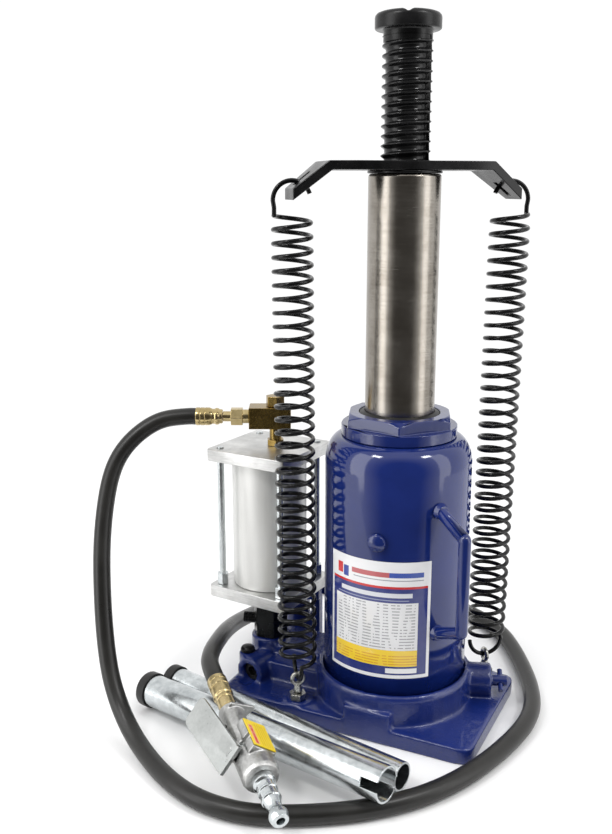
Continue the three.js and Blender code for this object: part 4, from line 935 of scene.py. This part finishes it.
# %% A sheet with its own UV map
def printed_sheet(name, face_at, back_at, columns, rows, material):
    work = bmesh.new()
    flat = work.loops.layers.uv.new("sheet")
    front, back = [
        [[work.verts.new(at(i / columns, j / rows)) for i in range(columns + 1)] for j in range(rows + 1)]
        for at in (face_at, back_at)
    ]
    share = {}
    for layer in (front, back):
        for j, row in enumerate(layer):
            for i, spot in enumerate(row):
                share[spot] = (i / columns, j / rows)
    for j in range(rows):
        for i in range(columns):
            work.faces.new((front[j][i], front[j][i + 1], front[j + 1][i + 1], front[j + 1][i]))
            work.faces.new((back[j][i], back[j + 1][i], back[j + 1][i + 1], back[j][i + 1]))
    for j in (0, rows):
        for i in range(columns):
            work.faces.new((front[j][i], back[j][i], back[j][i + 1], front[j][i + 1]))
    for i in (0, columns):
        for j in range(rows):
            work.faces.new((front[j][i], front[j + 1][i], back[j + 1][i], back[j][i]))
    bmesh.ops.recalc_face_normals(work, faces=work.faces)
    for face in work.faces:
        for loop in face.loops:
            loop[flat].uv = share[loop.vert]
    mesh = bpy.data.meshes.new(name)
    work.to_mesh(mesh)
    work.free()
    thing = plain_object(name, mesh, material)
    mesh.shade_smooth()
    mesh.set_sharp_from_angle(angle=math.radians(40))
    return thing


def label_print():
    r = Recipe("tank_label_print")
    u = r.node("ShaderNodeSeparateXYZ", None, {0: r.node("ShaderNodeUVMap", {"uv_map": "sheet"})})
    v = Value(r, u.socket.node.outputs[1])
    white, field, paper = (0.90, 0.90, 0.91), (0.022, 0.034, 0.20), (0.84, 0.84, 0.85)
    field_area = u.within(0.028, 0.972) * v.within(0.030, 0.775)
    tone = r.mix(field_area, white, field)
    tone = r.mix(u.within(0.028, 0.972) * v.within(0.775, 0.795), tone, (0.62, 0.02, 0.02))
    tone = r.mix(u.within(0.09, 0.155) * v.within(0.835, 0.925), tone, (0.66, 0.03, 0.03))
    tone = r.mix(u.within(0.165, 0.225) * v.within(0.820, 0.910), tone, (0.03, 0.06, 0.35))
    header = u.within(0.26, 0.93) * v.within(0.870, 0.912)
    tone = r.mix(header, tone, (0.55, 0.13, 0.14))
    tone = r.mix(u.within(0.62, 0.93) * v.within(0.870, 0.912), tone, (0.05, 0.10, 0.42))
    tone = r.mix(u.within(0.28, 0.93) * v.within(0.842, 0.850), tone, (0.35, 0.36, 0.40))
    tone = r.mix(u.within(0.14, 0.83) * v.within(0.700, 0.738), tone, (0.74, 0.75, 0.80))
    tone = r.mix(u.within(0.10, 0.80) * v.within(0.672, 0.680), tone, (0.30, 0.33, 0.50))
    panel = u.within(0.072, 0.885) * v.within(0.245, 0.655)
    tone = r.mix(panel, tone, paper)
    ragged = r.noise(380.0, 2.0, 0.5, (1, 1, 0.15))
    ruled = (v * 38.0).wrapped().below(0.36) * ragged.above(0.47)
    tone = r.mix(panel * ruled * u.within(0.10, 0.86) * 0.62, tone, (0.10, 0.10, 0.12))
    band = u.within(0.072, 0.885) * v.within(0.105, 0.245)
    tone = r.mix(band, tone, (0.95, 0.66, 0.035))
    lines = (v * 42.0).wrapped().below(0.36) * ragged.above(0.43)
    tone = r.mix(band * lines * v.below(0.205) * 0.55, tone, (0.62, 0.12, 0.02))
    tone = r.mix(u.within(0.60, 0.885) * v.within(0.045, 0.088), tone, white)
    soft = r.noise(40.0, 3.0)
    tone = r.mix(r.spread(soft, 0.4, 0.7, 0.0, 0.10), tone, (0.40, 0.42, 0.50))
    r.bump(soft, 0.03, 0.0005)
    return r.finish(base_color=tone, roughness=r.spread(soft, 0.3, 0.7, 0.16, 0.24),
                    coat_weight=0.35, coat_roughness=0.06)


def sticker_print():
    r = Recipe("valve_sticker_print")
    u = r.node("ShaderNodeSeparateXYZ", None, {0: r.node("ShaderNodeUVMap", {"uv_map": "sheet"})})
    v = Value(r, u.socket.node.outputs[1])
    ragged = r.noise(700.0, 2.0)
    tone = r.mix(r.noise(60.0, 3.0), (0.78, 0.55, 0.02), (0.90, 0.70, 0.04))
    tone = r.mix(u.within(0.10, 0.30) * v.within(0.06, 0.80), tone, (0.78, 0.42, 0.30))
    tone = r.mix(u.within(0.14, 0.26) * v.within(0.08, 0.78) * ragged.above(0.42), tone, (0.62, 0.06, 0.03))
    rows = (u * 9.0).wrapped().below(0.28) * u.within(0.36, 0.92) * v.within(0.06, 0.92)
    tone = r.mix(rows * ragged.above(0.36) * 0.8, tone, (0.42, 0.22, 0.01))
    r.bump(ragged, 0.03, 0.0003)
    return r.finish(base_color=tone, roughness=r.spread(ragged, 0.3, 0.7, 0.26, 0.36))


def on_tank(radius_mm):
    def place(u, v):
        a = math.radians(-126.2 + 84.0 * u)
        return Vector((radius_mm * math.cos(a), radius_mm * math.sin(a), 48.5 + 88.0 * v)) * MM
    return place


def on_valve(height_mm):
    def place(u, v):
        return valve_frame @ (Vector((-8.6 + 18.2 * u, height_mm, 74.0 - 25.0 * v)) * MM)
    return place


label = printed_sheet("tank_label_printed", on_tank(54.05), on_tank(53.78), 96, 40, label_print())
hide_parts("reservoir_label")
sticker = printed_sheet("valve_sticker_printed", on_valve(13.6), on_valve(13.02), 12, 12, sticker_print())
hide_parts("air_valve_sticker")
for sheet in (label, sticker):
    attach(sheet, "base")
print("label faces", len(label.data.polygons), "sticker faces", len(sticker.data.polygons))

# %% [markdown]
# ## Pieces kept as they are
# The parts that work out of sight, such as the pressure cylinder, the seal and the motor's piston,
# keep their own mesh. Each still gets the finish that the real piece has.

# %% Finishes of the hidden pieces
hidden = {
    "pressure_cylinder": plain_steel, "piston_seal": cap_rubber, "screw_stop_ring": plain_steel,
    "motor_piston": sawn_aluminium,
}
for name, material in hidden.items():
    nodes[name].data.materials.clear()
    nodes[name].data.materials.append(material)
shown = [n for n, o in nodes.items() if not o.hide_render]
print("kept as they are:", shown)

# %% [markdown]
# ## The hose's length
# The length of the hose's centreline is printed.

print("declared", round(hose_length, 3), "m")

# %% [markdown]
# ## Floor, light and camera
# From the front, a plain white floor runs into a white surround. Two tall soft lamps stand at the
# left and right,
# where they draw long pale strips on the tank, and two small ones hang high in front. The side
# behind the camera is darker, which keeps the middle of the tank a deep blue.

# %% Stage
CAMERA_PLACE = Vector((0.2394, -0.6397, 0.3901))
CAMERA_TURN = math.radians(26.19)
across = Vector((math.cos(CAMERA_TURN), math.sin(CAMERA_TURN), 0))
towards = Vector((-math.sin(CAMERA_TURN), math.cos(CAMERA_TURN), 0))


def seen_from_camera(right, back, high):
    """A place that far to the right of the jack and behind it, as the camera stands."""
    return across * right + towards * back + UP * high


def stage_floor():
    work = bmesh.new()
    for right, back in ((-0.9, -0.30), (0.9, -0.30), (0.9, 0.80), (-0.9, 0.80)):
        work.verts.new(seen_from_camera(right, back, -0.0002))
    work.faces.new(work.verts)
    mesh = bpy.data.meshes.new("floor")
    work.to_mesh(mesh)
    work.free()
    r = Recipe("white_floor")
    tone = r.mix(r.noise(2.0, 2.0), (0.96, 0.96, 0.96), (0.98, 0.98, 0.98))
    return plain_object("floor", mesh, r.finish(base_color=tone, roughness=0.8, specular_ior_level=0.1))


floor = stage_floor()
floor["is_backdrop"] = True


def lamp(name, place, target, width, height, power):
    light = bpy.data.lights.new(name, "AREA")
    light.shape = "RECTANGLE"
    light.size, light.size_y = width, height
    light.energy = power
    thing = bpy.data.objects.new(name, light)
    thing.location = place
    thing.rotation_euler = (Vector(target) - Vector(place)).to_track_quat("-Z", "Y").to_euler()
    bpy.context.scene.collection.objects.link(thing)
    return thing


middle = (0, 0, 0.22)
lamps = [
    lamp("left_softbox", seen_from_camera(-1.05, -0.40, 0.50), middle, 0.55, 1.4, 5.6),
    lamp("right_softbox", seen_from_camera(1.05, -0.40, 0.50), middle, 0.45, 1.4, 3.4),
    lamp("top_left", seen_from_camera(-0.62, -0.52, 1.15), middle, 0.26, 0.18, 3.4),
    lamp("top_right", seen_from_camera(0.66, -0.50, 1.15), middle, 0.26, 0.18, 3.4),
]
world = bpy.data.worlds.new("white_surround")
world.use_nodes = True
bpy.context.scene.world = world
sky = world.node_tree
background = sky.nodes["Background"]
direction = sky.nodes.new("ShaderNodeTexCoord")
facing = sky.nodes.new("ShaderNodeVectorMath")
facing.operation = "DOT_PRODUCT"
facing.inputs[1].default_value = towards
ramp = sky.nodes.new("ShaderNodeValToRGB")
ramp.color_ramp.elements[0].position = 0.08
ramp.color_ramp.elements[0].color = (0.10, 0.098, 0.095, 1)
ramp.color_ramp.elements[1].position = 0.24
ramp.color_ramp.elements[1].color = (1.0, 1.0, 1.0, 1)
shift = sky.nodes.new("ShaderNodeMapRange")
shift.inputs[1].default_value = -1.0
shift.inputs[2].default_value = 1.0
sky.links.new(direction.outputs["Generated"], facing.inputs[0])
sky.links.new(facing.outputs["Value"], shift.inputs[0])
sky.links.new(shift.outputs[0], ramp.inputs[0])
sky.links.new(ramp.outputs["Color"], background.inputs["Color"])
background.inputs["Strength"].default_value = 1.05
bpy.context.scene.view_settings.view_transform = "Standard"

camera = bpy.data.objects.new("camera", bpy.data.cameras.new("camera"))
camera.data.sensor_fit = "AUTO"
camera.data.sensor_width = 36
camera.data.lens = 41.69
camera.data.clip_start = 0.05
camera.location = CAMERA_PLACE
camera.rotation_euler = (math.radians(90 - 13.466), 0, CAMERA_TURN)
bpy.context.scene.collection.objects.link(camera)
bpy.context.scene.camera = camera
print("lamps:", [l.name for l in lamps])

# %% [markdown]
# ## Compare the sizes
# The finished look must not be bigger than the part. How its box differs from the part's box is printed.

# %% Print how the sizes differ
look_box = [list(corner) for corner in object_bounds()]
growth = [round((b - a) * 1000, 1) for a, b in zip(cad_box[0] + cad_box[1], look_box[0] + look_box[1])]
print("the look's box differs from the part's by (mm):", growth)
